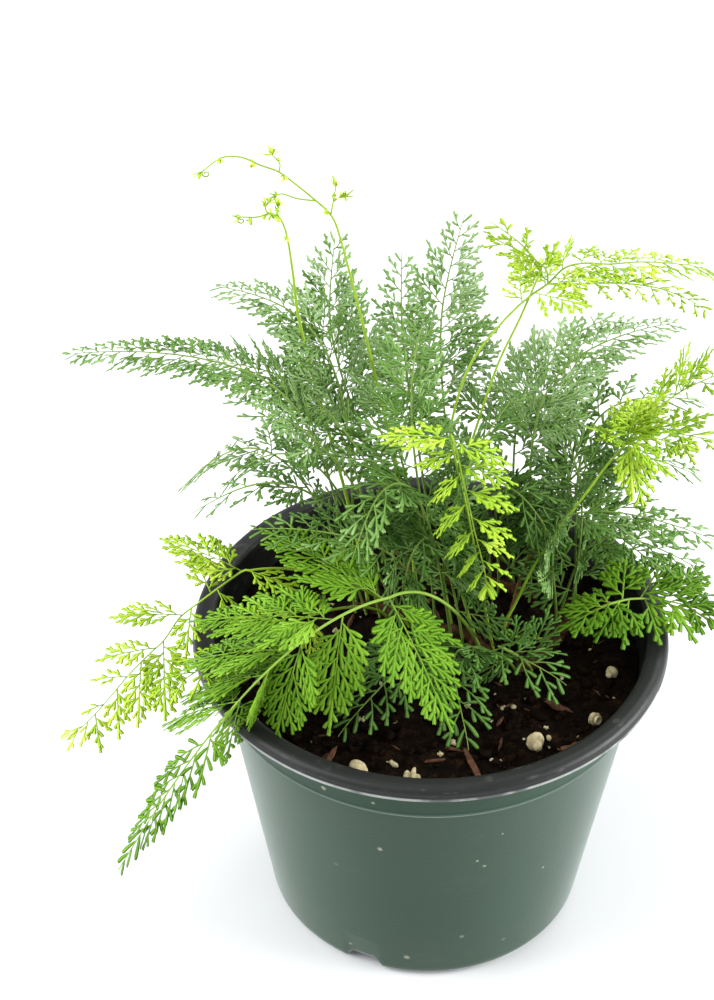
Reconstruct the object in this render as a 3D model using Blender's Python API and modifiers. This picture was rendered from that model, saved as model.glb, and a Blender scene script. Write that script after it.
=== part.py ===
"""A fern in a thin nursery pot.

The pot is one turned shell with a rolled lip, a flared collar and drain
notches.  It holds a plug of potting soil.  Three rhizomes creep over the
soil, and every frond is a piece of its own: a stalk, a midrib and flat
leaflets in one thin plate.  The origin is the middle of the pot's
underside, +Z is up and -Y is the front.
"""
import math
from collections import namedtuple

import bmesh
import bpy
from mathutils import Matrix, Vector
from mathutils.bvhtree import BVHTree

# --- Driving dimensions, in metres -----------------------------------------

POT_HEIGHT = 0.110          # top of the lip above the table
LIP_RADIUS = 0.0762         # outside of the rolled lip
DRAWN_LIP = 0.0762          # the lip radius that the fronds' places are drawn for
LIP_REACH = 0.0062          # how far the lip rolls out past the collar
LIP_DROP = 0.0045           # height of the lip's outer skirt
LIP_ROUND = 0.0012          # radius of the lip's edges
COLLAR_HEIGHT = 0.019       # top of the lip down to the ridge
COLLAR_FLARE = 0.0022       # how much the collar opens from ridge to lip
RIDGE_STEP = 0.0011         # outward step at the ridge
BASE_RADIUS = 0.0517        # outside of the pot where it stands
BASE_ROUND = 0.0030         # radius where the wall meets the floor
WALL = 0.0011               # thickness of the pot
NOTCH_COUNT = 4             # drain notches in the bottom edge
NOTCH_WIDTH = 0.0090
NOTCH_HEIGHT = 0.0026
NOTCH_DEPTH = 0.0060
FIRST_NOTCH = 254           # degrees

HEADSPACE = 0.0130          # top of the lip down to the soil
GAP = 0.0003                # clearance between touching pieces

BARK_THICKNESS = 0.0014
RHIZOME_RADIUS = 0.0024
STALK_WIDTH = 0.0015
STALK_THICKNESS = 0.0013
LEAFLET_WIDTH = 0.0030
LEAFLET_THICKNESS = 0.0006
LEAFLET_MARGIN = 0.0004     # air that a leaflet keeps to its neighbours

BLADE_TAPER = 0.82          # how much shorter the last leaflets are
LEAFLET_SWING = 58          # degrees from the midrib at the fork
TIP_SWING = 40              # degrees from the midrib at the tip
LEAFLET_DROOP = 0.18        # sag of a leaflet's end, as a share of its length

ROUND_STEPS = 48            # facets round the pot
STALK_STEPS = 6             # straight runs in one stalk
BLADE_STEPS = 8             # straight runs in a midrib's clearance solid

# --- Colours ----------------------------------------------------------------

POT_GREEN = (0.085, 0.150, 0.118)
SOIL_BLACK = (0.016, 0.011, 0.008)
RHIZOME_BROWN = (0.16, 0.085, 0.04)
PERLITE_CREAM = (0.72, 0.66, 0.48)
BARK_BROWN = (0.20, 0.085, 0.035)
DRY_BROWN = (0.26, 0.13, 0.05)
TONES = {
    "mature": (0.12, 0.27, 0.035),
    "shade": (0.10, 0.21, 0.055),
    "lime": (0.36, 0.55, 0.03),
}

# --- Where things grow, in millimetres --------------------------------------

# Rhizome routes over the soil, from the pot's axis.
RHIZOMES = {
    "rhizome_left": [(-26, 20), (-14, 17), (-2, 11), (10, 7), (20, -1)],
    "rhizome_back": [(-12, 40), (0, 35), (12, 32), (24, 31), (35, 26)],
    "rhizome_right": [(45, 20), (42, 9), (36, -1), (29, -10)],
}

# One row for each frond.  It grows beside a rhizome, at a share of its length
# and on one side of it (+1 is the left of the rhizome's direction).  The blade
# starts at the fork and ends at the tip.  Both are given round the pot's axis
# as an angle in degrees, the distance outside the lip (negative is inside it)
# and the height above the lip.  Width is the blade's at its base.
Frond = namedtuple("Frond", "rhizome along side fork tip width pairs tone")

FRONDS = {
    "frond_front_left": Frond("left", 0.96, -1, (243, -48, 32), (220, 46, -35), 84, 8, "mature"),
    "frond_left_lime": Frond("left", 0.42, -1, (185, -23, 25), (197, 43, -22), 48, 7, "lime"),
    "frond_left_lime_low": Frond("left", 0.27, -1, (197, -34, 11), (207, 16, 4), 26, 5, "lime"),
    "frond_centre_lime": Frond("left", 0.98, 1, (304, -62, 76), (308, -48, 32), 40, 6, "lime"),
    "frond_right_lime": Frond("right", 0.45, -1, (22, -8, 54), (23, 27, 71), 48, 6, "lime"),
    "frond_top_lime": Frond("left", 0.68, 1, (54, -20, 101), (31, 32, 90), 40, 7, "lime"),
    "frond_top_lime_short": Frond("left", 0.84, 1, (51, -27, 111), (68, -38, 130), 26, 4, "lime"),
    "crozier_tall": Frond("back", 0.16, -1, (137, -24, 138), (157, 0, 146), 12, 3, "lime"),
    "crozier_small": Frond("left", 0.10, 1, (137, -9, 123), (145, -3, 124), 8, 2, "lime"),
    "frond_back_centre": Frond("back", 0.45, 1, (89, -1, 70), (85, 14, 97), 42, 6, "shade"),
    "frond_back_left": Frond("back", 0.05, 1, (120, -7, 76), (114, 6, 98), 44, 6, "shade"),
    "frond_back_small": Frond("back", 0.26, 1, (103, -25, 84), (101, -13, 100), 28, 4, "shade"),
    "frond_far_left": Frond("left", 0.04, -1, (163, -18, 84), (168, 43, 84), 40, 7, "shade"),
    "frond_left_high": Frond("left", 0.02, 1, (134, -14, 86), (142, 14, 90), 42, 6, "shade"),
    "frond_left_fine": Frond("left", 0.18, 1, (140, -22, 66), (147, 12, 66), 40, 6, "shade"),
    "frond_left_droop": Frond("left", 0.11, -1, (149, -10, 42), (151, 20, 14), 34, 6, "shade"),
    "frond_left_droop_short": Frond("left", 0.20, -1, (160, -28, 54), (158, -2, 30), 30, 5, "shade"),
    "frond_left_low": Frond("left", 0.35, -1, (172, -26, 50), (174, 0, 36), 32, 5, "shade"),
    "frond_left_middle": Frond("left", 0.30, 1, (170, -36, 70), (163, -10, 74), 40, 5, "shade"),
    "frond_left_inner": Frond("left", 0.42, 1, (148, -46, 60), (143, -20, 70), 36, 5, "shade"),
    "frond_left_under": Frond("left", 0.59, -1, (205, -52, 42), (182, -18, 38), 40, 6, "shade"),
    "frond_crown_back": Frond("back", 0.30, -1, (110, -44, 74), (86, -18, 82), 38, 5, "shade"),
    "frond_crown_fan": Frond("left", 0.56, 1, (115, -59, 88), (95, -34, 92), 48, 5, "shade"),
    "frond_crown_front": Frond("left", 0.70, -1, (214, -58, 62), (227, -40, 46), 40, 6, "shade"),
    "frond_crown_low": Frond("left", 0.80, -1, (225, -70, 36), (238, -56, 14), 32, 5, "shade"),
    "frond_crown_right": Frond("back", 0.50, -1, (24, -64, 62), (48, -36, 72), 40, 5, "shade"),
    "frond_right_back": Frond("back", 0.96, -1, (45, -19, 73), (38, 22, 77), 44, 6, "shade"),
    "frond_right_upright": Frond("back", 0.98, 1, (46, -11, 46), (56, -2, 66), 34, 5, "shade"),
    "frond_right_far": Frond("right", 0.03, 1, (40, -4, 52), (34, 30, 46), 38, 6, "shade"),
    "frond_right_inner": Frond("right", 0.15, 1, (28, -24, 40), (43, -22, 54), 34, 5, "shade"),
    "frond_right_high": Frond("right", 0.24, -1, (13, -31, 38), (3, 13, 33), 44, 6, "shade"),
    "frond_right_middle": Frond("right", 0.10, -1, (16, -18, 24), (5, 10, 18), 34, 5, "shade"),
    "frond_centre_right": Frond("back", 0.72, -1, (30, -46, 42), (7, -33, 19), 36, 5, "shade"),
    "frond_right_rear": Frond("back", 0.85, -1, (32, -11, 42), (22, 17, 34), 38, 6, "shade"),
    "frond_back_right": Frond("back", 0.80, 1, (62, -6, 58), (54, 26, 64), 38, 6, "shade"),
    "frond_back_low_left": Frond("back", 0.14, 1, (112, -20, 42), (114, 20, 16), 40, 6, "shade"),
    "frond_back_low_right": Frond("back", 0.66, 1, (72, -16, 44), (66, 22, 20), 40, 6, "shade"),
    "frond_right_low": Frond("right", 0.66, -1, (0, -25, 8), (357, 20, 10), 46, 6, "mature"),
    "frond_front_right_low": Frond("right", 0.90, 1, (318, -46, 8), (325, -24, 2), 26, 5, "shade"),
    "frond_front_low": Frond("right", 0.99, -1, (286, -48, 10), (283, -20, -3), 28, 6, "shade"),
    "frond_front_left_low": Frond("left", 0.50, -1, (250, -46, 5), (242, -18, -2), 28, 5, "shade"),
}

# Grains and chips on the soil: place, size and turn in degrees.
PERLITE = [
    ((34, -45), 6, 20), ((-20, -56), 6, 80), ((-4, -60), 5, 140),
    ((52, -31), 4, 10), ((26, -58), 4, 60), ((58, -10), 4, 100),
]
BARK = [
    ((14, -52), (12, 3), 110), ((46, -42), (9, 3), 15),
    ((-30, -50), (8, 3), 60), ((40, -24), (10, 2), 150),
]
# An old stalk that lost its blade: plan position and height above the soil.
DRY_STALK = [(25, 13, 0), (27, 14, 12), (30, 16, 24), (35, 17, 34)]
DRY_STALK_WIDTH = 0.0012


# --- Helpers ----------------------------------------------------------------

def clear_scene():
    for old in list(bpy.data.objects):
        bpy.data.objects.remove(old, do_unlink=True)


def new_collection(name):
    group = bpy.data.collections.new(name)
    bpy.context.scene.collection.children.link(group)
    return group


def new_material(name, colour, roughness):
    mat = bpy.data.materials.new(name)
    mat.use_nodes = True
    shader = mat.node_tree.nodes["Principled BSDF"]
    shader.inputs["Base Color"].default_value = (*colour, 1.0)
    shader.inputs["Roughness"].default_value = roughness
    shader.inputs["Metallic"].default_value = 0.0
    return mat


def add_object(name, data, group, mat=None):
    obj = bpy.data.objects.new(name, data)
    group.objects.link(obj)
    if mat:
        obj.data.materials.append(mat)
    return obj


def mesh_from(name, verts, faces, edges=()):
    mesh = bpy.data.meshes.new(name)
    mesh.from_pydata([tuple(v) for v in verts], list(edges), faces)
    mesh.update()
    return mesh


def solid_polygons(obj):
    """The evaluated faces of an object in world space."""
    mesh = obj.evaluated_get(bpy.context.evaluated_depsgraph_get()).to_mesh()
    verts = [obj.matrix_world @ v.co for v in mesh.vertices]
    return verts, [tuple(p.vertices) for p in mesh.polygons]


# --- The pot and its soil ---------------------------------------------------

def arc(cx, cz, radius, start, end, steps):
    """Points on an arc, with angles in degrees."""
    turns = [math.radians(start + (end - start) * i / steps) for i in range(steps + 1)]
    return [(cx + radius * math.cos(t), cz + radius * math.sin(t)) for t in turns]


def collar_inner():
    """Inner radius at the top of the collar."""
    return LIP_RADIUS - LIP_REACH - WALL


def ridge_inner():
    return collar_inner() - COLLAR_FLARE


def wall_inner(height):
    """Inner radius of the pot at a height."""
    ridge = POT_HEIGHT - COLLAR_HEIGHT
    if height >= ridge:
        return ridge_inner() + COLLAR_FLARE * (height - ridge) / COLLAR_HEIGHT
    low = BASE_RADIUS - WALL
    return low + (ridge_inner() - RIDGE_STEP - low) * height / ridge


def pot_profile():
    """Inner face of the pot, from the axis up the wall and over the lip."""
    ridge = POT_HEIGHT - COLLAR_HEIGHT
    foot = arc(wall_inner(BASE_ROUND) - BASE_ROUND, WALL + BASE_ROUND, BASE_ROUND, -90, 0, 3)
    points = [(0, WALL)] + foot
    points += [(wall_inner(ridge - 2 * WALL), ridge - 2 * WALL), (ridge_inner(), ridge)]
    points += [(collar_inner() - LIP_ROUND / 4, POT_HEIGHT - LIP_ROUND)]
    points += [(collar_inner() + LIP_ROUND / 2, POT_HEIGHT)]
    points += arc(LIP_RADIUS - LIP_ROUND, POT_HEIGHT - LIP_ROUND, LIP_ROUND, 90, 0, 3)
    points += [(LIP_RADIUS, POT_HEIGHT - LIP_DROP)]
    return points


def turn(name, points, group, mat):
    """Spins a profile round the Z axis."""
    verts = [(x, 0, z) for x, z in points]
    edges = [(i, i + 1) for i in range(len(points) - 1)]
    obj = add_object(name, mesh_from(name, verts, [], edges), group, mat)
    screw = obj.modifiers.new("turn", "SCREW")
    screw.axis = "Z"
    screw.angle = math.tau
    screw.steps = ROUND_STEPS
    screw.render_steps = ROUND_STEPS
    screw.use_merge_vertices = True
    screw.merge_threshold = 0.00005
    screw.use_smooth_shade = True
    return obj


def make_pot(group, cutters, mat):
    pot = turn("pot", pot_profile(), group, mat)
    shell = pot.modifiers.new("wall", "SOLIDIFY")
    shell.thickness = WALL
    shell.offset = -1
    shell.use_even_offset = True
    for i in range(NOTCH_COUNT):
        bpy.ops.mesh.primitive_cube_add(size=1)
        notch = bpy.context.object
        notch.name = f"notch_cutter_{i + 1}"
        angle = math.radians(FIRST_NOTCH + i * 360 / NOTCH_COUNT)
        reach = BASE_RADIUS + NOTCH_DEPTH / 2
        size = Matrix.Diagonal((3 * NOTCH_DEPTH, NOTCH_WIDTH, 2 * NOTCH_HEIGHT, 1))
        spin = Matrix.Rotation(angle, 4, "Z")
        notch.data.transform(spin @ Matrix.Translation((reach, 0, 0)) @ size)
        for owner in list(notch.users_collection):
            owner.objects.unlink(notch)
        cutters.objects.link(notch)
        notch.display_type = "WIRE"
        notch.hide_render = True
        cut = pot.modifiers.new(f"notch_{i + 1}", "BOOLEAN")
        cut.object = notch
        cut.operation = "DIFFERENCE"
        cut.solver = "EXACT"
    return pot


def soil_top():
    return POT_HEIGHT - HEADSPACE


def make_soil(group, mat):
    """Fills the pot to the soil line, a gap away from its inner face."""
    ridge = POT_HEIGHT - COLLAR_HEIGHT
    low = WALL + BASE_ROUND
    points = [(0, soil_top()), (wall_inner(soil_top()) - GAP, soil_top())]
    if soil_top() > ridge:
        points += [(ridge_inner() - GAP, ridge)]
    points += [(wall_inner(ridge - 2 * WALL) - GAP, ridge - 2 * WALL - GAP)]
    foot = arc(wall_inner(BASE_ROUND) - BASE_ROUND, low, BASE_ROUND - GAP, 0, -90, 3)
    points += foot + [(0, WALL + GAP)]
    return turn("soil", points, group, mat)


# --- Rhizomes and fronds ----------------------------------------------------

def along_route(route, share):
    """Point and direction on a route of XY points in millimetres."""
    points = [Vector((x, y, 0)) / 1000 for x, y in route]
    runs = [(b - a).length for a, b in zip(points, points[1:])]
    left = share * sum(runs)
    for a, b, run in zip(points, points[1:], runs):
        if left <= run or b is points[-1]:
            return a.lerp(b, left / run), (b - a).normalized()
        left -= run


def make_stem(name, points, radius, group, mat):
    """A round tube that thins towards both of its ends."""
    curve = bpy.data.curves.new(name, "CURVE")
    curve.dimensions = "3D"
    curve.bevel_depth = radius
    curve.bevel_resolution = 2
    curve.use_fill_caps = True
    line = curve.splines.new("POLY")
    line.points.add(len(points) - 1)
    for i, (point, place) in enumerate(zip(line.points, points)):
        point.co = (*place, 1)
        point.radius = 0.75 if i in (0, len(points) - 1) else 1.0
    guide = add_object(name + "_guide", curve, group)
    graph = bpy.context.evaluated_depsgraph_get()
    mesh = bpy.data.meshes.new_from_object(guide.evaluated_get(graph))
    bpy.data.objects.remove(guide, do_unlink=True)
    work = bmesh.new()
    work.from_mesh(mesh)
    bmesh.ops.remove_doubles(work, verts=work.verts, dist=0.00001)
    bmesh.ops.recalc_face_normals(work, faces=work.faces)
    work.to_mesh(mesh)
    work.free()
    return add_object(name, mesh, group, mat)


def polar_point(place):
    """Angle, distance outside the lip and height above it, to a point.

    When the lip is made wider, what leans over it moves out with it, and
    what grows near the crown stays where it is.
    """
    angle, out, up = place
    drawn = DRAWN_LIP + out / 1000
    follow = min(drawn / DRAWN_LIP, 1.0) ** 2
    radius = drawn + (LIP_RADIUS - DRAWN_LIP) * follow
    turn_by = math.radians(angle)
    height = POT_HEIGHT + up / 1000
    return Vector((radius * math.cos(turn_by), radius * math.sin(turn_by), height))


def hermite(a, b, leave, arrive, share):
    """Smooth path from a to b that starts along leave and ends along arrive."""
    s, s2, s3 = share, share ** 2, share ** 3
    return (a * (2 * s3 - 3 * s2 + 1) + leave * (s3 - 2 * s2 + s)
            + b * (3 * s2 - 2 * s3) + arrive * (s3 - s2))


class Spine:
    """The line of a frond: a stalk to the fork, then the blade's midrib."""

    def __init__(self, row, sideways=0.0, forward=0.0):
        route = RHIZOMES["rhizome_" + row.rhizome]
        base, run = along_route(route, row.along)
        beside = Vector((-run.y, run.x, 0)) * row.side
        offset = RHIZOME_RADIUS + STALK_WIDTH + GAP
        self.root = base + beside * offset
        self.root.z = soil_top() + GAP + STALK_THICKNESS / 2
        self.fork = polar_point(row.fork)
        self.tip = polar_point(row.tip)
        heading = self.tip - self.root
        heading.z = 0
        self.side = Vector((-heading.y, heading.x, 0)).normalized()
        stalk = self.fork - self.root
        blade = self.tip - self.fork
        turn_at_fork = (stalk.normalized() * 0.6 + blade.normalized()).normalized()
        self.leave_root = stalk * 0.5 + Vector((0, 0, stalk.length * 0.6))
        sway = self.side * sideways + heading.normalized() * forward
        self.leave_root += sway
        self.reach_fork = turn_at_fork * stalk.length * 0.8 - sway
        self.leave_fork = turn_at_fork * blade.length * 0.9
        self.reach_tip = blade * 0.9 - Vector((0, 0, 0.25 * blade.length))

    def stalk_at(self, share):
        return hermite(self.root, self.fork, self.leave_root, self.reach_fork, share)

    def blade_at(self, share):
        return hermite(self.fork, self.tip, self.leave_fork, self.reach_tip, share)

    def blade_frame(self, share):
        """Point and direction of the midrib."""
        step = 0.01
        ahead = self.blade_at(share + step) - self.blade_at(share - step)
        return self.blade_at(share), ahead.normalized()


def leaflet_stations(pairs):
    """Shares of the midrib where pairs of leaflets leave it."""
    return [0.04 + 0.86 * i / (pairs - 1) for i in range(pairs)]


def leaflet_line(spine, row, share, side, lean, size):
    """Middle and end of one leaflet, which leaves the midrib at a slant."""
    point, ahead = spine.blade_frame(share)
    length = row.width / 2000 * (1.0 - BLADE_TAPER * share) * size
    swing = math.radians(LEAFLET_SWING + (TIP_SWING - LEAFLET_SWING) * share)
    out = spine.side * side * math.sin(swing) + ahead * math.cos(swing)
    out.z += math.tan(math.radians(lean))
    droop = Vector((0, 0, -LEAFLET_DROOP * length))
    return point + out * length * 0.5, point + out * length + droop


def slab(corners, normal, thickness, grow):
    """A closed thin box round a flat outline, for clearance tests."""
    centre = sum(corners, Vector()) / len(corners)
    wide = [c + (c - centre).normalized() * grow for c in corners]
    half = normal.normalized() * (thickness / 2 + grow)
    verts = [c + half for c in wide] + [c - half for c in wide]
    count = len(corners)
    faces = [tuple(range(count)), tuple(range(2 * count - 1, count - 1, -1))]
    faces += [(i, (i + 1) % count, (i + 1) % count + count, i + count) for i in range(count)]
    return verts, faces


class Thicket:
    """Everything that is already in place, for clearance tests."""

    def __init__(self):
        self.solids = {}
        self.trees = {}

    def add(self, owner, solid):
        verts, faces = self.solids.setdefault(owner, ([], []))
        start = len(verts)
        verts.extend(solid[0])
        faces.extend(tuple(i + start for i in face) for face in solid[1])
        self.trees[owner] = BVHTree.FromPolygons(verts, faces)

    def is_clear(self, owner, solids):
        for verts, faces in solids:
            tree = BVHTree.FromPolygons(verts, faces)
            for other, standing in self.trees.items():
                if other != owner and standing.overlap(tree):
                    return False
        return True


def spine_slabs(spine, grow):
    """Clearance solids along a stalk and its midrib."""
    stalk = [spine.stalk_at(i / STALK_STEPS) for i in range(STALK_STEPS + 1)]
    blade = [spine.blade_at(i / BLADE_STEPS) for i in range(1, BLADE_STEPS + 1)]
    points = stalk + blade
    solids = []
    for a, b in zip(points, points[1:]):
        side = spine.side * STALK_WIDTH / 2
        corners = [a - side, a + side, b + side, b - side]
        solids.append(slab(corners, (b - a).cross(spine.side), STALK_THICKNESS, grow))
    return solids


SWAYS = [(a * 0.01, b * 0.01) for a in range(-6, 7) for b in range(-6, 7)]
SWAYS.sort(key=lambda sway: sway[0] ** 2 + sway[1] ** 2)


def find_spine(name, row, thicket):
    """Sways the stalk sideways or forward, a little at a time, until it is clear."""
    for sideways, forward in SWAYS:
        spine = Spine(row, sideways, forward)
        if thicket.is_clear(name, spine_slabs(spine, LEAFLET_MARGIN)):
            break
    else:
        print("no clear way for", name)
    for solid in spine_slabs(spine, 0):
        thicket.add(name, solid)
    return spine


def leaflet_corners(middle, end, ahead, share):
    """Corners of a leaflet from its middle to its end."""
    wide = ahead * LEAFLET_WIDTH / 2 * (1 - 0.4 * share)
    narrow = ahead * LEAFLET_WIDTH / 8
    return [middle - wide, middle + wide, end + narrow, end - narrow]


LEANS = [(lean, size) for size in (1.0, 0.85, 0.7, 0.55, 0.4, 0.28, 0.18)
         for lean in (0, 8, -8, 16, -16, 26, -26, 38, -38)]


def find_leaflet(name, row, spine, share, side, thicket):
    """Leans a leaflet up or down, then shortens it, until it is clear."""
    point, ahead = spine.blade_frame(share)
    foot = ahead * STALK_WIDTH / 2
    for lean, size in LEANS:
        middle, end = leaflet_line(spine, row, share, side, lean, size)
        far = leaflet_corners(middle, end, ahead, share)
        start = point + spine.side * side * STALK_WIDTH / 2
        near = [start - foot, start + foot, far[1], far[0]]
        normal = ahead.cross(end - point)
        solids = [slab(quad, normal, LEAFLET_THICKNESS, LEAFLET_MARGIN) for quad in (near, far)]
        if thicket.is_clear(name, solids):
            break
    else:
        print("no clear place for a leaflet of", name)
    for quad in (near, far):
        thicket.add(name, slab(quad, normal, LEAFLET_THICKNESS, 0))
    return far


def frond_sheet(name, row, spine, thicket):
    """The frond as one open sheet: vertices, faces and their thickness."""
    verts, weights, faces = [], [], []

    def add(point, weight):
        verts.append(point)
        weights.append(weight)
        return len(verts) - 1

    def rib_pair(point, half, weight):
        return (add(point - spine.side * half, weight), add(point + spine.side * half, weight))

    half = STALK_WIDTH / 2
    last = rib_pair(spine.stalk_at(0), half, 1.0)
    for i in range(1, STALK_STEPS):
        pair = rib_pair(spine.stalk_at(i / STALK_STEPS), half, 1.0)
        faces.append((last[0], pair[0], pair[1], last[1]))
        last = pair
    leaf = LEAFLET_THICKNESS / STALK_THICKNESS
    for share in leaflet_stations(row.pairs):
        point, ahead = spine.blade_frame(share)
        foot = ahead * STALK_WIDTH / 2
        slim = half * (1 - 0.5 * share)
        weight = 1.0 + (leaf - 1.0) * share
        near = rib_pair(point - foot, slim, weight)
        far = rib_pair(point + foot, slim, weight)
        faces.append((last[0], near[0], near[1], last[1]))
        faces.append((near[0], far[0], far[1], near[1]))
        last = far
        for side, (low, high) in ((-1, (near[0], far[0])), (1, (near[1], far[1]))):
            corners = find_leaflet(name, row, spine, share, side, thicket)
            inner = [add(c, leaf) for c in corners]
            quads = [(low, inner[0], inner[1], high), (inner[0], inner[3], inner[2], inner[1])]
            faces.extend(quads if side < 0 else [q[::-1] for q in quads])
    tip = rib_pair(spine.tip, half / 2, leaf)
    faces.append((last[0], tip[0], tip[1], last[1]))
    return verts, weights, faces


def make_frond(name, row, spine, thicket, group, mat):
    verts, weights, faces = frond_sheet(name, row, spine, thicket)
    frond = add_object(name, mesh_from(name, verts, faces), group, mat)
    thick = frond.vertex_groups.new(name="thickness")
    for i, weight in enumerate(weights):
        thick.add([i], weight, "REPLACE")
    solid = frond.modifiers.new("plate", "SOLIDIFY")
    solid.thickness = STALK_THICKNESS
    solid.offset = 0
    solid.vertex_group = "thickness"
    return frond


# --- Loose pieces on the soil -----------------------------------------------

def make_grain(name, place, size, spin, group, mat):
    """A rough lump of perlite."""
    bpy.ops.mesh.primitive_ico_sphere_add(subdivisions=1, radius=size / 2000)
    grain = bpy.context.object
    grain.name = name
    for i, vert in enumerate(grain.data.vertices):
        vert.co *= 1 + 0.16 * math.sin(2.3 * i + spin)
    grain.data.transform(Matrix.Rotation(math.radians(spin), 4, "Z"))
    lowest = min(v.co.z for v in grain.data.vertices)
    height = soil_top() + GAP - lowest
    grain.data.transform(Matrix.Translation((place[0] / 1000, place[1] / 1000, height)))
    move_to(grain, group, mat)
    return grain


def make_chip(name, place, size, spin, group, mat):
    """A flat splinter of bark, narrower at one end."""
    bpy.ops.mesh.primitive_cube_add(size=1)
    chip = bpy.context.object
    chip.name = name
    for vert in chip.data.vertices:
        if vert.co.x > 0:
            vert.co.y *= 0.45
    shape = Matrix.Diagonal((size[0] / 1000, size[1] / 1000, BARK_THICKNESS, 1))
    height = soil_top() + GAP + BARK_THICKNESS / 2
    spot = Matrix.Translation((place[0] / 1000, place[1] / 1000, height))
    chip.data.transform(spot @ Matrix.Rotation(math.radians(spin), 4, "Z") @ shape)
    move_to(chip, group, mat)
    return chip


def move_to(obj, group, mat):
    for owner in list(obj.users_collection):
        owner.objects.unlink(obj)
    group.objects.link(obj)
    obj.data.materials.append(mat)


# --- Build ------------------------------------------------------------------

def build():
    clear_scene()
    group = new_collection("potted_fern")
    cutters = new_collection("cutters")

    pot = make_pot(group, cutters, new_material("pot_plastic", POT_GREEN, 0.38))
    soil = make_soil(group, new_material("potting_soil", SOIL_BLACK, 0.95))

    thicket = Thicket()
    for still in (pot, soil):
        thicket.add(still.name, solid_polygons(still))

    bark = new_material("bark", BARK_BROWN, 0.85)
    cream = new_material("perlite", PERLITE_CREAM, 0.9)
    for i, (place, size, spin) in enumerate(PERLITE):
        grain = make_grain(f"perlite_grain_{i + 1}", place, size, spin, group, cream)
        thicket.add(grain.name, solid_polygons(grain))
    for i, (place, size, spin) in enumerate(BARK):
        chip = make_chip(f"bark_chip_{i + 1}", place, size, spin, group, bark)
        thicket.add(chip.name, solid_polygons(chip))

    brown = new_material("rhizome", RHIZOME_BROWN, 0.9)
    rest = soil_top() + GAP + RHIZOME_RADIUS
    for name, route in RHIZOMES.items():
        points = [(x / 1000, y / 1000, rest) for x, y in route]
        rhizome = make_stem(name, points, RHIZOME_RADIUS, group, brown)
        thicket.add(name, solid_polygons(rhizome))
    foot = soil_top() + GAP + DRY_STALK_WIDTH / 2
    points = [(x / 1000, y / 1000, foot + z / 1000) for x, y, z in DRY_STALK]
    dry = make_stem("dry_stalk", points, DRY_STALK_WIDTH / 2, group,
                    new_material("dry_stalk", DRY_BROWN, 0.8))
    thicket.add(dry.name, solid_polygons(dry))

    greens = {tone: new_material("leaf_" + tone, TONES[tone], 0.5) for tone in TONES}
    spines = {name: find_spine(name, row, thicket) for name, row in FRONDS.items()}
    for name, row in FRONDS.items():
        make_frond(name, row, spines[name], thicket, group, greens[row.tone])


build()
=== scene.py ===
# %% [markdown]
# # A lacy fern in a nursery pot
# This lesson dresses a plain working model of a potted fern. The working model
# holds the sizes, so each finished piece takes its place from it: the pot is
# turned again with a finer lip, the soil gets its crumbs, and every frond
# grows its divided leaflets along the line that the model gives it.

# %% Load the working model
import math
from collections import namedtuple

import bmesh
import bpy
import numpy as np
from mathutils import Matrix, Vector, noise


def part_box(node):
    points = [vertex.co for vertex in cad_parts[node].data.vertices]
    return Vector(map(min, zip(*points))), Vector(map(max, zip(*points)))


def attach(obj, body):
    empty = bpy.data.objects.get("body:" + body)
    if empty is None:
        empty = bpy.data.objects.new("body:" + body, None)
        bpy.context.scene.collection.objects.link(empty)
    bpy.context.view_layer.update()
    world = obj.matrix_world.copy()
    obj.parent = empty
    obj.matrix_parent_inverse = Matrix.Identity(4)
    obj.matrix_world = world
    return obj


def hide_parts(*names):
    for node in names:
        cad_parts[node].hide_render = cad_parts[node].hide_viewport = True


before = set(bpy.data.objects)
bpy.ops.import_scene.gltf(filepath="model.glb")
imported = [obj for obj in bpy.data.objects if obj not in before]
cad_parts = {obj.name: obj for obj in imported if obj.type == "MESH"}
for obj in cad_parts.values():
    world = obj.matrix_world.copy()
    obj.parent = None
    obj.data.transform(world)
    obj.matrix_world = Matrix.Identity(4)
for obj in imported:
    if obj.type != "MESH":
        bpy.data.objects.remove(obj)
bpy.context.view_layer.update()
print("nodes in the working model:", len(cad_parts))

# %% [markdown]
# ## The camera
# The plant is seen from above the pot's front edge through a long lens, so that
# both the soil and the side of the pot show. A camera object can be turned by
# Euler angles, but aiming it at a point is easier to read. A quaternion tracks
# the point, and a small roll about the lens finishes it.

# %% Camera
scene = bpy.context.scene
lens = bpy.data.cameras.new("plant_camera")
lens.lens = 99.05
lens.sensor_width = 36
camera = bpy.data.objects.new("plant_camera", lens)
scene.collection.objects.link(camera)
camera.location = (0, -0.65739, 0.69655)
aim = Vector((-0.02361, 0, 0.15970)) - camera.location
roll = Matrix.Rotation(math.radians(0.17), 3, "Z")
camera.rotation_euler = (aim.to_track_quat("-Z", "Y").to_matrix() @ roll).to_euler()
scene.camera = camera
print("camera distance:", round(aim.length, 3), "m")

# %% [markdown]
# ## Sizes that the pieces share
# The lip, wall and soil line are repeated from the working model, in metres,
# because every later piece touches one of them. Each frond has one row: the
# rhizome it grows from, where along it and on which side, then the fork where
# the blade starts and the blade's tip. Forks and tips are an angle round the
# pot, a distance outside the lip and a height above it, in millimetres.

# %% Sizes
POT_HEIGHT = 0.110
LIP_RADIUS = 0.0762
COLLAR_HEIGHT = 0.019
BASE_RADIUS = 0.0517
WALL = 0.0011
SOIL_TOP = 0.097
GAP = 0.0003
RHIZOME_RADIUS = 0.0024
STALK_WIDTH = 0.0015
COLLAR_INNER = 0.0689
RIDGE_INNER = 0.0667
RIDGE_STEP = 0.0011
RIDGE = POT_HEIGHT - COLLAR_HEIGHT


def wall_inner(height):
    """Inner radius of the wall below the ridge."""
    low = BASE_RADIUS - WALL
    return low + (RIDGE_INNER - RIDGE_STEP - low) * height / RIDGE


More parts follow.
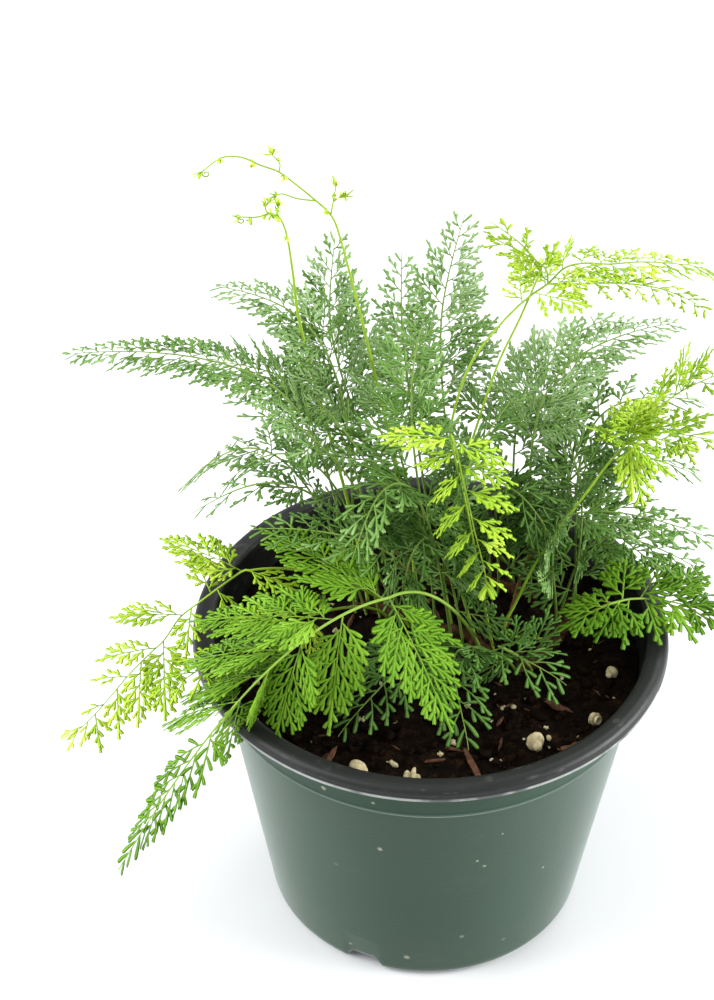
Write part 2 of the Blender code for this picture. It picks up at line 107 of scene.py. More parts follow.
RHIZOMES = {
    "left": [(-26, 20), (-14, 17), (-2, 11), (10, 7), (20, -1)],
    "back": [(-12, 40), (0, 35), (12, 32), (24, 31), (35, 26)],
    "right": [(45, 20), (42, 9), (36, -1), (29, -10)],
}

# Width is the blade's at its base; tint runs from dark (0) to pale (1). Bare is
# the share of the stalk without leaflets, and arch lifts the blade's middle.
FROND_FIELDS = "rhizome along side fork tip width tone tint bare arch"
Frond = namedtuple("Frond", FROND_FIELDS, defaults=[0.62, 0.0])

FRONDS = {
    "frond_front_left": Frond("left", 0.96, -1, (243, -48, 32), (220, 46, -35), 54, "mature", 0.5, 1.0, 0.3),
    "frond_left_lime": Frond("left", 0.42, -1, (185, -23, 25), (197, 43, -22), 48, "lime", 0.5, 0.97),
    "frond_left_lime_low": Frond("left", 0.27, -1, (197, -34, 11), (207, 16, 4), 34, "lime", 0.4, 0.9),
    "frond_centre_lime": Frond("left", 0.98, 1, (304, -62, 76), (308, -48, 32), 46, "lime", 0.44, 0.85),
    "frond_right_lime": Frond("right", 0.45, -1, (22, -8, 54), (23, 27, 71), 48, "lime", 0.42, 0.85),
    "frond_top_lime": Frond("left", 0.68, 1, (54, -20, 101), (31, 32, 90), 30, "lime", 0.5, 0.9),
    "frond_top_lime_short": Frond("left", 0.84, 1, (51, -27, 111), (68, -38, 130), 18, "lime", 0.5, 0.95),
    "frond_back_centre": Frond("back", 0.45, 1, (89, -1, 70), (85, 14, 97), 52, "shade", 0.72),
    "frond_back_left": Frond("back", 0.05, 1, (120, -7, 76), (114, 6, 98), 56, "shade", 0.65),
    "frond_back_small": Frond("back", 0.26, 1, (103, -25, 84), (101, -13, 100), 40, "shade", 0.65),
    "frond_far_left": Frond("left", 0.04, -1, (163, -18, 84), (168, 43, 84), 46, "shade", 0.5, 0.62),
    "frond_left_high": Frond("left", 0.02, 1, (134, -14, 86), (142, 14, 90), 48, "shade", 0.6),
    "frond_left_fine": Frond("left", 0.18, 1, (140, -22, 66), (147, 12, 66), 46, "shade", 0.5),
    "frond_left_droop": Frond("left", 0.11, -1, (149, -10, 42), (151, 20, 14), 38, "shade", 0.7),
    "frond_left_droop_short": Frond("left", 0.20, -1, (160, -28, 54), (158, -2, 30), 36, "shade", 0.4),
    "frond_left_low": Frond("left", 0.35, -1, (172, -26, 50), (174, 0, 36), 38, "shade", 0.35),
    "frond_left_middle": Frond("left", 0.30, 1, (170, -36, 70), (163, -10, 74), 30, "shade", 0.65, 0.9),
    "frond_left_inner": Frond("left", 0.42, 1, (148, -46, 60), (143, -20, 70), 28, "shade", 0.55, 0.9),
    "frond_left_under": Frond("left", 0.59, -1, (205, -52, 42), (182, -18, 38), 46, "shade", 0.3, 0.4),
    "frond_crown_back": Frond("back", 0.30, -1, (110, -44, 74), (86, -18, 82), 46, "shade", 0.5),
    "frond_crown_fan": Frond("left", 0.56, 1, (115, -59, 88), (95, -34, 92), 54, "shade", 0.55, 0.35),
    "frond_crown_front": Frond("left", 0.70, -1, (214, -58, 62), (227, -40, 46), 56, "shade", 0.35, 0.3),
    "frond_crown_low": Frond("left", 0.80, -1, (225, -70, 36), (238, -56, 14), 54, "shade", 0.2, 0.2),
    "frond_crown_right": Frond("back", 0.50, -1, (24, -64, 62), (48, -36, 72), 52, "shade", 0.35, 0.25),
    "frond_right_back": Frond("back", 0.96, -1, (45, -19, 73), (38, 22, 77), 50, "shade", 0.75),
    "frond_right_upright": Frond("back", 0.98, 1, (46, -11, 46), (56, -2, 66), 42, "shade", 0.6, 0.4),
    "frond_right_far": Frond("right", 0.03, 1, (40, -4, 52), (34, 30, 46), 50, "shade", 0.6, 0.45),
    "frond_right_inner": Frond("right", 0.15, 1, (28, -24, 40), (43, -22, 54), 50, "shade", 0.4, 0.2),
    "frond_right_high": Frond("right", 0.24, -1, (13, -31, 38), (3, 13, 33), 54, "shade", 0.55, 0.3),
    "frond_right_middle": Frond("right", 0.10, -1, (16, -18, 24), (5, 10, 18), 50, "shade", 0.4, 0.4),
    "frond_centre_right": Frond("back", 0.72, -1, (30, -46, 42), (7, -33, 19), 56, "shade", 0.2, 0.1),
    "frond_right_rear": Frond("back", 0.85, -1, (32, -11, 42), (22, 17, 34), 52, "shade", 0.5, 0.25),
    "frond_back_right": Frond("back", 0.80, 1, (62, -6, 58), (54, 26, 64), 44, "shade", 0.7, 0.45),
    "frond_back_low_left": Frond("back", 0.14, 1, (112, -20, 42), (114, 20, 16), 46, "shade", 0.5),
    "frond_back_low_right": Frond("back", 0.66, 1, (72, -16, 44), (66, 22, 20), 46, "shade", 0.5),
    "frond_right_low": Frond("right", 0.66, -1, (0, -25, 8), (357, 20, 10), 50, "mature", 0.35, 0.85),
    "frond_front_right_low": Frond("right", 0.90, 1, (318, -46, 8), (325, -24, 2), 46, "shade", 0.12, 0.2),
    "frond_front_low": Frond("right", 0.99, -1, (286, -48, 10), (283, -20, -3), 46, "shade", 0.1, 0.2),
    "frond_front_left_low": Frond("left", 0.50, -1, (250, -46, 5), (242, -18, -2), 44, "shade", 0.1, 0.4),
}
CROZIERS = {
    "crozier_tall": Frond("back", 0.16, -1, (137, -24, 138), (157, 0, 146), 12, "lime", 0.5),
    "crozier_small": Frond("left", 0.10, 1, (137, -9, 123), (145, -3, 124), 8, "lime", 0.4),
}
print("leafy fronds:", len(FRONDS), "young croziers:", len(CROZIERS))

# %% [markdown]
# ## Bent lines and aimed pinnae
# One arch is enough for most fronds. A few bend more than once, fork in two, or
# carry pinnae that fill a known place. Those could be drawn by hand as curve
# objects, but tables of points are easier to compare and to change. A frond
# without a table falls back on its arch. All points are in millimetres.

# %% Lines and aimed pinnae
# Midribs and young stems that bend more than one arch does.
LINES = {
    "frond_left_lime": [(-57, -6, 135), (-60, -6, 134), (-72.5, -10, 125), (-79, -11, 119),
                        (-84, -14, 112), (-89, -17, 108), (-95, -21, 103), (-101, -25.5, 97),
                        (-107, -30.5, 92), (-114, -36, 88)],
    "frond_centre_lime": [(5, -10, 193.4), (6.9, -12, 187.7), (8.7, -13.7, 179.7),
                          (10.7, -15.6, 171.6), (12.4, -17.4, 164.2), (14.5, -19.3, 156.3),
                          (16.3, -21, 148.8), (17, -23, 143.5)],
    "frond_right_lime": [(59.3, 22, 166.7), (65, 23, 175.9), (70, 25, 180.4), (75.4, 27, 184.1),
                         (81.5, 29, 186.7), (87, 31, 188), (94, 35, 187)],
    "frond_right_low": [(57, -1, 121), (64, 2, 120.5), (73, 3.5, 119), (84, 2.5, 117), (94, 0, 114)],
    "frond_top_lime": [(33.3, 38, 215.9), (38.3, 40.6, 220.2), (44.5, 43.1, 220.4), (52.3, 45.7, 218.5),
                       (61.7, 48.3, 217.8), (72.7, 51, 215.6), (80.8, 53.4, 212.6), (92, 57, 204)],
    "crozier_tall": [(-20.3, 34, 187.6), (-24.7, 34, 209.2), (-30.2, 34, 234), (-32.9, 34, 241.8),
                     (-37.3, 34, 246.7), (-42.7, 34, 251.8), (-48.2, 34, 256.5), (-53.8, 34, 258.8),
                     (-59.4, 34, 261.4), (-65.3, 34, 261), (-70.8, 34, 256.3)],
    "crozier_small": [(-44.1, 40, 205.5), (-44.9, 40, 215.6), (-46.6, 40, 229.9), (-48.9, 40, 236.7),
                      (-52.2, 40, 237.7), (-55.6, 40, 236.5), (-60.4, 40, 236.4)],
}
# Stalks that lean before they rise, as points above the root.
STALKS = {
    "frond_centre_lime": [(17, 3, 116), (11, 8, 148), (6, 3, 176)],
    "frond_right_lime": [(23.8, -4, 110.3), (27.6, 0.3, 121), (32.5, 4.7, 131.3), (39.9, 9, 143.1),
                         (47.3, 13.3, 153.2), (53.3, 17.7, 160.8)],
    "frond_top_lime_short": [(8, 12, 122), (9, 15, 142), (10, 19, 160), (14, 23, 177), (19, 27, 194),
                             (25, 32, 207)],
    "frond_top_lime": [(4, 10, 120), (4, 12, 142), (4.3, 16.3, 159.4), (5.1, 20.7, 175.9),
                       (10.1, 25, 194), (18.9, 29.3, 206.3), (26.3, 33.7, 212.7)],
}
# Second axes of a blade: how wide each grows, then its points.
BRANCHES = {
    "frond_right_lime": [(48, [(59.3, 22, 166.7), (65.4, 23.5, 169.3), (72.6, 25, 169.9),
                               (79.8, 26.5, 167.4), (87.6, 28, 164.9)])],
    "frond_top_lime": [(14, [(33.3, 38, 215.9), (32.1, 38, 221.7), (25.8, 38, 226.7), (20.5, 38, 229.8),
                             (14.4, 38, 232.9)]),
                       (16, [(33.3, 38, 215.9), (43.2, 40.3, 214.5), (52.5, 42.7, 213.6),
                             (61.9, 45, 211.5), (70, 47.3, 208.2), (79.9, 49.7, 201.9),
                             (85.2, 52, 195.8)])],
    "crozier_tall": [(0, [(-32.9, 34, 241.8), (-32.2, 34, 246.5), (-31.4, 34, 251.8)]),
                     (0, [(-32.2, 34, 246.5), (-30.6, 34, 247.9), (-28.7, 34, 248.3)]),
                     (0, [(-37.3, 34, 246.7), (-42.7, 34, 247.3), (-48.1, 34, 248.9),
                          (-51.8, 34, 245.8), (-52.4, 34, 242.9), (-50.8, 34, 241.8)]),
                     (0, [(-48.2, 34, 256.5), (-48.0, 34, 259.6), (-50.2, 34, 262.4)])],
    "crozier_small": [(0, [(-48.9, 40, 236.7), (-49.6, 40, 238.8), (-49.2, 40, 240.2)]),
                      (0, [(-52.2, 40, 237.7), (-53.0, 40, 239.8), (-52.0, 40, 241.6)])],
}
# Pinnae with known ends: share of the midrib, then the end.
AIMED = {
    "frond_front_left": [(0.00, (7, -56, 117)), (0.02, (-53, 1, 146)), (0.16, (-30, -53, 112)),
                         (0.19, (-74, -23, 128)), (0.30, (-47, -54, 106)), (0.34, (-77, -29, 116)),
                         (0.42, (-54, -47, 104)), (0.44, (-77, -31.5, 104)), (0.52, (-62, -49, 94)),
                         (0.53, (-82, -40, 100))],
    "frond_left_lime": [(0.03, (-86, 8, 135)), (0.01, (-41, -11.5, 131)), (0.28, (-76.5, -21, 112)),
                        (0.33, (-100, -13, 120)), (0.46, (-82.5, -34, 97)), (0.50, (-104, -21, 109)),
                        (0.58, (-91, -36, 96)), (0.66, (-105.5, -22.5, 102)), (0.72, (-97, -37, 92)),
                        (0.80, (-108, -30, 95)), (0.85, (-103, -39, 88)), (0.18, (-76, 4, 132)),
                        (0.15, (-62, -16, 121))],
    "frond_centre_lime": [(0.02, (-16, -8, 191)), (0.04, (22, -12, 185)), (0.10, (-5, -11, 183)),
                          (0.18, (24, -14, 179)), (0.24, (-1, -13, 170)), (0.34, (24.6, -16, 171)),
                          (0.42, (1, -15, 160)), (0.52, (24, -18, 161)), (0.60, (4.5, -16.6, 152)),
                          (0.66, (23.5, -19, 155)), (0.74, (8.5, -18, 146)), (0.80, (23, -21, 149)),
                          (0.86, (11.5, -20, 142)), (0.90, (21.5, -22.5, 145))],
    "frond_right_lime": [(0.02, (62, 14, 190)), (0.03, (58.5, 16, 189)), (0.01, (47.5, 16, 177.5)),
                         (0.02, (51, 16, 173)), (0.03, (74, 16, 160)), (0.05, (68, 16, 168)),
                         (0.04, (62, 12, 155)), (0.03, (66, 12, 148)), (0.12, (76, 18, 178)),
                         (0.34, (70, 22, 196)), (0.50, (77, 27, 202)), (0.55, (84, 27, 200))],
    "frond_right_low": [(0.02, (42, -9, 117)), (0.01, (46, 3, 119)), (0.08, (53, -10, 115)),
                        (0.16, (61, -11.5, 114)), (0.10, (62, 17, 124)), (0.26, (76, 20, 123)),
                        (0.30, (72, -9, 114)), (0.44, (86, 17, 121)), (0.48, (83, -7, 113))],
}
print("bent lines:", len(LINES), "aimed pinnae:", sum(len(rows) for rows in AIMED.values()))

# %% [markdown]
# ## Writing finishes as sums
# A finish is a tree of shader nodes. Placing each node by hand hides the idea,
# so a socket is wrapped in a small class with Python's operators: `1 - mask`
# adds its own Math node. Colours go through Mix nodes, since a Math node turns
# a colour grey. Every other node comes from one method, which sets the node's
# settings first and then its sockets.

# %% Sockets with operators
class Wire:
    """One output socket of a finish, with operators for plain values."""

    def __init__(self, finish, socket):
        self.finish = finish
        self.socket = socket

    def __add__(self, other):
        return self.finish.math("ADD", self, other)

    def __radd__(self, other):
        return self.finish.math("ADD", other, self)

    def __sub__(self, other):
        return self.finish.math("SUBTRACT", self, other)

    def __rsub__(self, other):
        return self.finish.math("SUBTRACT", other, self)

    def __mul__(self, other):
        return self.finish.math("MULTIPLY", self, other)

    def __rmul__(self, other):
        return self.finish.math("MULTIPLY", other, self)

    def __truediv__(self, other):
        return self.finish.math("DIVIDE", self, other)

    def __pow__(self, other):
        return self.finish.math("POWER", self, other)


class Finish:
    """A material whose shader is one Principled node."""

    def __init__(self, name, **constants):
        self.material = bpy.data.materials.new(name)
        self.material.use_nodes = True
        self.tree = self.material.node_tree
        self.shader = self.tree.nodes["Principled BSDF"]
        for socket, value in constants.items():
            self.shader.inputs[socket.replace("_", " ")].default_value = value

    def node(self, kind, settings, sockets, output=0):
        made = self.tree.nodes.new(kind)
        for name, value in settings.items():
            if name == "stops":
                self.set_stops(made.color_ramp, value)
            else:
                setattr(made, name, value)
        for name, value in sockets.items():
            self.feed(made.inputs[name], value)
        return Wire(self, made.outputs[output])

    def set_stops(self, ramp, stops):
        while len(ramp.elements) < len(stops):
            ramp.elements.new(0.5)
        for element, (place, colour) in zip(ramp.elements, stops):
            element.position = place
            element.color = (*colour, 1)

    def feed(self, socket, value):
        if isinstance(value, Wire):
            self.tree.links.new(value.socket, socket)
        else:
            socket.default_value = value

    def math(self, operation, first, second):
        settings = {"operation": operation}
        return self.node("ShaderNodeMath", settings, {0: first, 1: second})

    def mix(self, share, first, second):
        """A colour between two colours."""
        pair = [c if isinstance(c, Wire) else (*c, 1) for c in (first, second)]
        sockets = {0: share, 6: pair[0], 7: pair[1]}
        return self.node("ShaderNodeMix", {"data_type": "RGBA"}, sockets, 2)

    def place(self):
        """The surface's own place in metres."""
        return self.node("ShaderNodeTexCoord", {}, {}, 3)

    def number(self, name):
        """A value stored on the mesh under this name."""
        return self.node("ShaderNodeAttribute", {"attribute_name": name}, {}, 2)

    def noise(self, scale, detail=4.0, rough=0.55, where=None):
        sockets = {"Vector": where or self.place(), "Scale": scale, "Detail": detail}
        sockets["Roughness"] = rough
        return self.node("ShaderNodeTexNoise", {}, sockets)

    def step(self, value, low, high, to_low=0.0, to_high=1.0):
        """A smooth step from low to high, clamped at both ends."""
        settings = {"interpolation_type": "SMOOTHSTEP"}
        sockets = {0: value, 1: low, 2: high, 3: to_low, 4: to_high}
        return self.node("ShaderNodeMapRange", settings, sockets)

    def ramp(self, value, stops):
        return self.node("ShaderNodeValToRGB", {"stops": stops}, {0: value})

    def bump(self, height, depth, strength=1.0):
        sockets = {"Height": height, "Distance": depth, "Strength": strength}
        self.feed(self.shader.inputs["Normal"], self.node("ShaderNodeBump", {}, sockets))

    def colour(self, value):
        self.feed(self.shader.inputs["Base Color"], value)

    def roughness(self, value):
        self.feed(self.shader.inputs["Roughness"], value)


print("finish helper ready")

# %% [markdown]
# ## Pot plastic
# A nursery pot is thin moulded plastic, green outside and black inside. It is
# handled a lot, so it has pale scuffs, specks of dried potting mix and a worn
# line on the lip's lower edge, where pots rub in a stack. The wear could be
# painted, but here it follows the shape: height and distance from the axis
# say where the edge is, and noise breaks it up.

# %% Pot finishes
def place_parts(finish):
    """The surface's place as three values: across, deep and high."""
    across = finish.node("ShaderNodeSeparateXYZ", {}, {0: finish.place()})
    outputs = across.socket.node.outputs
    return across, Wire(finish, outputs[1]), Wire(finish, outputs[2])


# Dried specks on the wall: angle in degrees, height and half size in millimetres.
SPECKS = [(242.6, 95, 0.9), (256.4, 94.8, 0.6), (257.3, 69.8, 0.9), (285.4, 64, 0.5),
          (287.8, 60.4, 0.6), (309.9, 46.8, 0.6), (264.8, 10.3, 1.1), (243.5, 9.7, 0.7),
          (262.5, 90.6, 0.5), (292, 76, 0.4), (20, 62, 0.8), (48, 30, 0.6),
          (95, 81, 0.7), (120, 44, 0.9), (160, 66, 0.5), (195, 28, 0.7)]
COLLAR_FACE = COLLAR_INNER + WALL - 0.0016


def speck_mask(finish):
    """One on the dried specks, fading out at their ragged rims."""
    ragged = finish.noise(700.0, 3.0) * 0.0012 - 0.0006
    mask = 0.0
    for angle, high, size in SPECKS:
        height, reach = high / 1000, size / 1000
        out = wall_inner(height) + WALL if height < RIDGE else COLLAR_FACE
        turn_by = math.radians(angle)
        spot = (out * math.cos(turn_by), out * math.sin(turn_by), height)
        settings = {"operation": "DISTANCE"}
        sockets = {0: finish.place(), 1: spot}
        away = finish.node("ShaderNodeVectorMath", settings, sockets, 1) + ragged
        mask = finish.step(away, reach * 1.3, reach * 0.3) + mask
    return mask


def pot_green():
    """Green plastic with clouds, dust at the foot, specks, painted shade for dents and a rubbed ridge."""
    green = Finish("pot_green", Specular_IOR_Level=0.14, Sheen_Weight=0.56, Sheen_Roughness=0.29,
                   Sheen_Tint=(0.93, 1.0, 0.97, 1))
    height = place_parts(green)[2]
    cloud = green.noise(14.0, 5.0)
    tone = green.mix(cloud, (0.014, 0.038, 0.023), (0.024, 0.055, 0.034))
    dust = green.step(green.noise(60.0, 6.0, 0.7), 0.56, 0.80)
    tone = green.mix(dust * 0.05, tone, (0.24, 0.30, 0.26))
    low_dust = green.step(height, 0.030, 0.002) * green.noise(180.0, 4.0)
    tone = green.mix(low_dust * 0.06, tone, (0.26, 0.28, 0.23))
    speck = speck_mask(green)
    tone = green.mix(speck * 0.6, tone, (0.42, 0.40, 0.31))
    cells = green.node("ShaderNodeTexVoronoi", {}, {"Vector": green.place(), "Scale": 75.0})
    pale = green.step(cells, 0.09, 0.03) * green.step(green.noise(24.0, 2.0), 0.48, 0.60)
    tone = green.mix(pale * 0.30, tone, (0.42, 0.44, 0.38))
    # Small darker spots: painted shade that stands in for dents, which the shell does not have.
    dent_shade_cells = green.node("ShaderNodeTexVoronoi", {}, {"Vector": green.place(), "Scale": 52.0})
    tone = green.mix(green.step(dent_shade_cells, 0.12, 0.04) * 0.35, tone, (0.012, 0.022, 0.016))
    edge = green.step(height, RIDGE - 0.0003, RIDGE)
    edge = edge * green.step(height, RIDGE + 0.0012, RIDGE + 0.0006)
    tone = green.mix(edge * (cloud * 0.25 + 0.08), tone, (0.28, 0.35, 0.31))
    green.colour(tone)
    green.roughness(0.30 + cloud * 0.10 + dust * 0.10 + speck * 0.3)
    green.bump(green.noise(900.0, 2.0) + speck * 3.0, 0.00004)
    return green.material


def pot_black():
    """Black plastic with a soil crust inside, scuffs and a rubbed lower lip."""
    black = Finish("pot_black", Specular_IOR_Level=0.30)
    across, deep, height = place_parts(black)
    radius = (across * across + deep * deep) ** 0.5
    cloud = black.noise(30.0, 5.0)
    tone = black.mix(cloud, (0.005, 0.0053, 0.0055), (0.014, 0.0145, 0.0145))
    crust = black.step(black.noise(160.0, 5.0, 0.7), 0.58, 0.72)
    inside = black.step(radius, LIP_RADIUS - 0.004, LIP_RADIUS - 0.0075)
    tone = black.mix(crust * inside * 0.5, tone, (0.08, 0.06, 0.045))
    rub = black.step(radius, LIP_RADIUS - 0.0007, LIP_RADIUS - 0.0004)
    rub = rub * black.step(height, 0.1068, 0.1064)
    rub = rub * (black.step(black.noise(90.0, 4.0), 0.34, 0.56) * 0.75 + 0.25)
    tone = black.mix(rub * 0.7, tone, (0.40, 0.42, 0.40))
    streak = black.node("ShaderNodeMapping", {}, {0: black.place(), 3: (1.0, 1.0, 6.0)})
    scuff = black.step(black.noise(150.0, 3.0, 0.5, streak), 0.60, 0.72)
    tone = black.mix(scuff * 0.18, tone, (0.16, 0.16, 0.16))
    black.colour(tone)
    black.roughness(0.36 + cloud * 0.16 + crust * 0.2)
    black.bump(black.noise(700.0, 2.0), 0.00005)
    return black.material


POT_GREEN = pot_green()
POT_BLACK = pot_black()
print("pot finishes:", POT_GREEN.name, POT_BLACK.name)

# %% [markdown]
# ## Soil, perlite, bark and rhizome
# Potting mix is nearly black when damp, with brown fibres that stay lighter.
# Perlite is blown glass foam, chalky and pitted, stained cream by the mix.
# Each finish is a noise field turned into colour by a ramp, plus a bump of the
# same field, so that light crumbs also stand higher.

# %% Earthy finishes
def crumbly(name, scale, stops, depth, shine):
    """A rough finish whose colour and height come from one noise field."""
    made = Finish(name, Specular_IOR_Level=shine)
    field = made.noise(scale, 8.0, 0.68)
    grain = made.noise(scale * 5.0, 3.0, 0.6)
    made.colour(made.ramp(field * 0.75 + grain * 0.25, stops))
    made.roughness(0.98 - field * 0.25)
    made.bump(field + grain * 0.4, depth)
    return made.material


SOIL_STOPS = [(0.34, (0.0020, 0.0012, 0.0008)), (0.54, (0.0075, 0.0045, 0.0028)),
              (0.68, (0.036, 0.017, 0.008)), (0.82, (0.11, 0.055, 0.024))]
CRUMB_STOPS = [(0.30, (0.0022, 0.0014, 0.001)), (0.62, (0.012, 0.0065, 0.0038)),
               (0.80, (0.065, 0.030, 0.014))]
PERLITE_STOPS = [(0.25, (0.20, 0.16, 0.07)), (0.48, (0.48, 0.41, 0.23)), (0.72, (0.74, 0.69, 0.50))]
BARK_STOPS = [(0.28, (0.022, 0.009, 0.005)), (0.52, (0.085, 0.034, 0.014)), (0.75, (0.26, 0.12, 0.05))]
RHIZOME_STOPS = [(0.30, (0.03, 0.013, 0.005)), (0.55, (0.10, 0.050, 0.022)), (0.78, (0.26, 0.16, 0.08))]
DRY_STOPS = [(0.30, (0.10, 0.035, 0.014)), (0.55, (0.28, 0.12, 0.05)), (0.75, (0.45, 0.26, 0.12))]
SOIL = crumbly("damp_soil", 220.0, SOIL_STOPS, 0.0012, 0.04)
CRUMB = crumbly("soil_crumb", 420.0, CRUMB_STOPS, 0.0006, 0.04)
PERLITE = crumbly("perlite_foam", 520.0, PERLITE_STOPS, 0.0005, 0.2)
BARK = crumbly("bark_shred", 300.0, BARK_STOPS, 0.0004, 0.3)
RHIZOME = crumbly("rhizome_fur", 700.0, RHIZOME_STOPS, 0.0004, 0.1)
DRY = crumbly("dry_stem", 600.0, DRY_STOPS, 0.0002, 0.3)
print("earthy finishes:", SOIL.name, CRUMB.name, PERLITE.name, BARK.name, RHIZOME.name, DRY.name)

# %% [markdown]
# ## Leaf finishes
# A fern frond is not one green. Young fronds are yellow-green, full-grown ones
# are deep, and on each the segments pale towards their tips and along the
# vein. The mesh stores four numbers for this: `along` runs from the foot of a
# segment to its tip, `vein` is 1 on its middle line, `wood` is 1 on stalks and
# ribs, and `tint` differs from leaflet to leaflet. The finish mixes by them.

# %% Leaf finish
def leaf_finish(name, deep, middle, pale, stem):
    """A leaf green mixed from four colours by the stored numbers."""
    leaf = Finish(name, Specular_IOR_Level=0.15)
    along, vein = leaf.number("along"), leaf.number("vein")
    wood, tint = leaf.number("wood"), leaf.number("tint")
    cloud = leaf.noise(45.0, 3.0)
    fine = leaf.noise(900.0, 3.0)
    depth = tint + cloud * 0.5 - 0.25
    tone = leaf.mix(leaf.step(depth, 0.0, 1.0), deep, middle)
    tone = leaf.mix(leaf.step(depth + along * 0.25, 0.55, 1.25), tone, pale)
    tone = leaf.mix(leaf.step(vein, 0.55, 1.0) * 0.30, tone, pale)
    tone = leaf.mix(leaf.step(fine, 0.45, 0.75) * 0.18, tone, deep)
    tone = leaf.mix(wood, tone, stem)
    leaf.colour(tone)
    leaf.roughness(0.46 + cloud * 0.12 + fine * 0.08)
    leaf.bump(fine + vein * -0.6, 0.00006)
    return leaf.material


LEAF = {
    "mature": leaf_finish("leaf_full_green", (0.045, 0.135, 0.002), (0.150, 0.340, 0.008),
                          (0.280, 0.490, 0.050), (0.22, 0.36, 0.05)),
    "shade": leaf_finish("leaf_deep_green", (0.046, 0.130, 0.009), (0.145, 0.295, 0.040),
                         (0.320, 0.455, 0.225), (0.15, 0.25, 0.045)),
    "lime": leaf_finish("leaf_young_lime", (0.150, 0.320, 0.002), (0.400, 0.600, 0.016),
                        (0.730, 0.830, 0.180), (0.24, 0.38, 0.03)),
}
print("leaf finishes:", [m.name for m in LEAF.values()])

# %% [markdown]
# ## Making meshes from arrays
# A fern has tens of thousands of small segments, far too many to place one at
# a time. NumPy works on all of them together, and one helper turns the arrays
# into a mesh object. Another names the body that the piece belongs to and
# hides the plain nodes that it stands for. Leafy meshes also get a
# flat layout here: unfolding so many straps afterwards would take minutes.

# %% Mesh helpers
def mesh_object(name, verts, faces, finishes, numbers=None, smooth=True, places=None):
    """An object from arrays of corners and quads (or triangles), with stored numbers.

    Places lays the faces out flat, with one pair of values for each face corner."""
    mesh = bpy.data.meshes.new(name)
    sides = faces.shape[1]
    mesh.vertices.add(len(verts))
    mesh.vertices.foreach_set("co", np.asarray(verts, np.float32).ravel())
    mesh.loops.add(faces.size)
    mesh.loops.foreach_set("vertex_index", faces.astype(np.int32).ravel())
    mesh.polygons.add(len(faces))
    mesh.polygons.foreach_set("loop_start", np.arange(0, faces.size, sides, dtype=np.int32))
    for key, values in (numbers or {}).items():
        stored = mesh.attributes.new(key, "FLOAT", "POINT")
        stored.data.foreach_set("value", np.asarray(values, np.float32))
    if places is not None:
        layout = mesh.uv_layers.new(name="OFBake")
        layout.uv.foreach_set("vector", places.astype(np.float32).ravel())
    mesh.update(calc_edges=True)
    mesh.validate()
    if smooth:
        mesh.shade_smooth()
    for finish in finishes:
        mesh.materials.append(finish)
    obj = bpy.data.objects.new(name, mesh)
    scene.collection.objects.link(obj)
    return obj


def stands_for(obj, slot, *nodes):
    """Rides on the plant and stands for plain nodes; the slot is not used."""
    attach(obj, "root")
    if nodes:
        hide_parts(*nodes)
    return obj


def unit(rows):
    """Rows scaled to length one."""
    return rows / np.maximum(np.linalg.norm(rows, axis=-1, keepdims=True), 1e-12)


def dot(a, b):
    """Dot product of each pair of rows."""
    return np.sum(a * b, axis=-1, keepdims=True)


def grid_faces(rows, columns, closed=True):
    """Quads of a grid of corners, numbered row by row."""
    turns = columns if closed else columns - 1
    down, across = np.meshgrid(np.arange(rows - 1), np.arange(turns), indexing="ij")
    here, beside = down * columns + across, down * columns + (across + 1) % columns
    return np.stack([here, beside, beside + columns, here + columns], -1).reshape(-1, 4)


def grid_places(rows, columns):
    """Where the quads of grid_faces lie on a flat unit square."""
    down, across = np.meshgrid(np.arange(rows - 1), np.arange(columns), indexing="ij")
    corners = [(across, down), (across + 1, down), (across + 1, down + 1), (across, down + 1)]
    flat = [np.stack([u / columns, v / (rows - 1)], -1).reshape(-1, 2) for u, v in corners]
    return np.stack(flat, 1)


SQUARE = np.array([[0.0, 0.0], [1.0, 0.0], [1.0, 1.0], [0.0, 1.0]])
print("mesh helpers ready")

# %% [markdown]
# ## The pot
# The real pot is one moulded shell. It could be a cylinder with modifiers, but
# its lip decides how it looks: a crest, a rounded shoulder and a short skirt
# with a bead. So a closed outline is drawn from the floor's middle, up the
# outside, over the lip and back down the inside, and turned round the axis.
# Drain notches could be cut out with a boolean, but a moulded pot has no sharp
# cut there: its foot is lifted into a low arch, and the soil inside follows.

# %% Pot outline
def fillet(points, radius=0.0006, steps=4):
    """An outline with each inner corner rounded by a small curve."""
    made = [points[0]]
    for before, here, after in zip(points, points[1:], points[2:]):
        a, b, c = Vector(before), Vector(here), Vector(after)
        cut = min(radius, (a - b).length * 0.45, (c - b).length * 0.45)
        start, end = b + (a - b).normalized() * cut, b + (c - b).normalized() * cut
        for i in range(steps + 1):
            t = i / steps
            made.append(tuple(start * (1 - t) ** 2 + b * 2 * t * (1 - t) + end * t * t))
    return made + [points[-1]]


